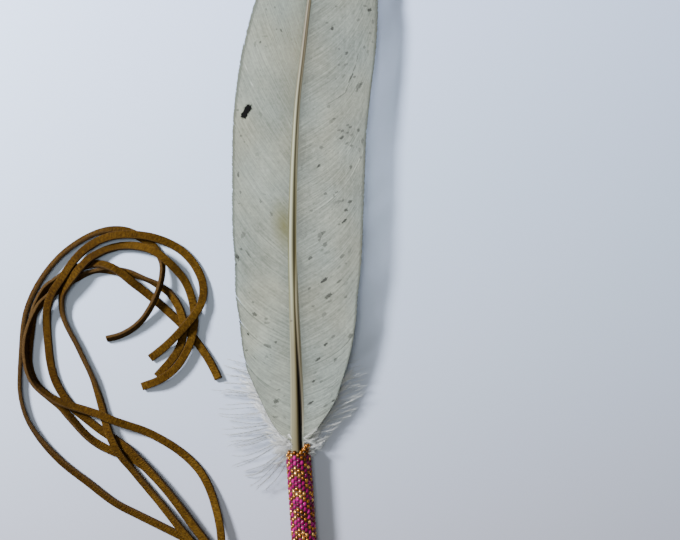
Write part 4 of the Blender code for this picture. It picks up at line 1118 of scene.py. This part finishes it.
def bead_sleeve(finishes):
    """The woven tube: one bead at a time, column by column, in its two colours."""
    dice = random.Random(3)
    bead = one_bead()
    colours = {name: bmesh.new() for name in finishes}
    for name in colours:
        colours[name].verts.layers.float_vector.new("bead")
    for from_peak in range(BEAD_COLUMNS):
        angle = math.pi / 2 - 2 * math.pi * (from_peak + PEAK_COLUMN) / BEAD_COLUMNS
        low = from_peak % 2
        for row in range(-1 if from_peak in HIGH_COLUMNS else 0, SLEEVE_ROWS + 1 - low):
            colour = bead_colour(from_peak, row)
            bm = colours[colour]
            corners = add_copy(bm, bead)
            coat = bm.verts.layers.float_vector["bead"]
            z = RIM_LIFT - (row + 0.5 * low) * BEAD_PITCH + dice.gauss(0.0, BEAD_SHIFT)
            centre = Vector((BEAD_RING * math.cos(angle), -BEAD_RING * math.sin(angle), z))
            turn = (Matrix.Rotation(-angle, 3, "Z") @ Matrix.Rotation(dice.gauss(0.0, BEAD_TURNS[0]), 3, "X")
                    @ Matrix.Rotation(dice.gauss(0.0, BEAD_TURNS[1]), 3, "Z"))
            size = dice.uniform(*BEAD_SIZES)
            mark = (dice.random(), dice.random(), row)
            for vert in corners:
                vert.co = centre + turn @ (vert.co * size)
                vert[coat] = mark
    pieces = []
    for name, bm in colours.items():
        turn_to_handle(bm)
        bmesh.ops.recalc_face_normals(bm, faces=bm.faces)
        piece = finish_piece(bm, name + "_beads", finishes[name])
        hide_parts("beaded_sleeve")
        pieces.append(piece)
    bpy.data.meshes.remove(bead)
    return pieces


def magenta_finish():
    glass = Finish("magenta_glass")
    lot = glass.split(glass.attribute("bead"))[0]
    glass.colour(glass.ramp(lot, (0.0, (0.075, 0.0001, 0.020)), (0.6, (0.155, 0.0002, 0.055)),
                            (1.0, (0.26, 0.0006, 0.11))))
    return glass.set(Roughness=0.12, Specular_IOR_Level=0.15)


def gold_finish():
    """Gold lustre on glass, darker in patches."""
    metal = Finish("gold_lustre_glass")
    lot = metal.split(metal.attribute("bead"))[0]
    # The noise picks patches where the gold is darker
    dark_patch = metal.noise(metal.drawing_place(), 1.6, 2.0)
    gold = metal.ramp(lot, (0.0, (0.11, 0.027, 0.003)), (0.14, (0.26, 0.08, 0.010)),
                      (0.6, (0.45, 0.185, 0.03)), (1.0, (0.68, 0.38, 0.11)))
    metal.colour(metal.mix(metal.grade(dark_patch, 0.56, 0.74), gold, (0.08, 0.02, 0.006)))
    return metal.set(Metallic=0.85, Roughness=0.22)


def bead_core(finish):
    """The thread and backing seen as a dark tube between the beads; its darkness is partly painted shade in
    the gaps.
    """
    bm = bmesh.new()
    bmesh.ops.create_circle(bm, segments=CORE_SIDES, radius=CORE_RADIUS)
    made = bmesh.ops.extrude_edge_only(bm, edges=bm.edges[:])
    lower = [g for g in made["geom"] if isinstance(g, bmesh.types.BMVert)]
    bmesh.ops.translate(bm, verts=lower, vec=(0, 0, -SLEEVE_LENGTH + 0.8))
    bmesh.ops.solidify(bm, geom=bm.faces[:], thickness=CORE_WALL)
    turn_to_handle(bm)
    bmesh.ops.recalc_face_normals(bm, faces=bm.faces)
    return finish_piece(bm, "bead_thread_and_shade", finish)


def core_finish():
    thread = Finish("maroon_thread_and_shade")
    # Nearly black: partly the thread's maroon, partly painted shade between the beads
    thread.colour(thread.ramp(thread.noise(thread.drawing_place(), 3.0), (0.3, (0.01, 0.001, 0.0025)),
                              (0.7, (0.03, 0.003, 0.007))))
    return thread.set(Roughness=0.8)


def wrap_profile(top):
    """Half of the wrap's section, from the plug in the sleeve down its turns: radius and height."""
    profile = [(0.0, top + PLUG_LENGTH), (PLUG_RADIUS, top + PLUG_LENGTH), (PLUG_RADIUS, top - 0.1)]
    for turn in range(WRAP_TURNS):
        near = top - WRAP_LENGTH * turn / WRAP_TURNS
        far = top - WRAP_LENGTH * (turn + 1) / WRAP_TURNS
        profile += [(WRAP_RADIUS - inside, near - below) for inside, below in TURN_START]
        profile += [(WRAP_RADIUS - inside, far + above) for inside, above in TURN_END]
    return profile + [(0.0, top - WRAP_LENGTH)]


def end_wrap(finish):
    """The suede wrap at the handle's end: a strip wound in three turns over a plug."""
    bm = bmesh.new()
    coat = bm.verts.layers.float_vector.new("lace")
    top = -SLEEVE_LENGTH - GAP
    verts = [bm.verts.new((x, 0.0, z)) for x, z in wrap_profile(top)]
    edges = [bm.edges.new(pair) for pair in zip(verts, verts[1:])]
    bmesh.ops.spin(bm, geom=verts + edges, axis=(0, 0, 1), cent=(0, 0, 0), angle=2 * math.pi,
                   steps=WRAP_SIDES, use_merge=True)
    bmesh.ops.remove_doubles(bm, verts=bm.verts, dist=0.001)
    for vert in bm.verts:
        angle = math.atan2(vert.co.y, vert.co.x)
        rough = noise.noise(vert.co * 0.8)
        reach = math.hypot(vert.co.x, vert.co.y)
        if reach > WRAP_RADIUS - 0.6:
            grow = 1.0 + WRAP_ROUGH * rough
            vert.co.x *= grow
            vert.co.y *= grow
            vert.co.z += WRAP_SLANT * math.sin(angle) * (1.0 if vert.co.z < top - 1.0 else 0.0)
            vert.co.z = max(vert.co.z, top - WRAP_LENGTH)
        vert[coat] = (angle * WRAP_RADIUS, vert.co.z * 0.8, 1.0 if reach < WRAP_RADIUS - 0.3 else 0.0)
    turn_to_handle(bm)
    bmesh.ops.recalc_face_normals(bm, faces=bm.faces)
    piece = finish_piece(bm, "suede_wrap", finish)
    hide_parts("end_wrap")
    return piece


def add_feather():
    shaft(shaft_finish())
    vane(-1, vane_finish("left_barbs", -1, LEFT_MARKS))
    vane(1, vane_finish("right_barbs", 1, LOW_RIGHT_MARKS),
         vane_finish("upper_right_barbs", 1, HIGH_RIGHT_MARKS))
    fluff = down_finish()
    for side in (-1, 1):
        down(side, fluff)


def add_handle():
    bead_sleeve({"magenta": magenta_finish(), "gold": gold_finish()})
    bead_core(core_finish())
    end_wrap(bpy.data.materials["golden_brown_suede"])


add_camera()
add_laces()
add_feather()
add_handle()
add_studio()
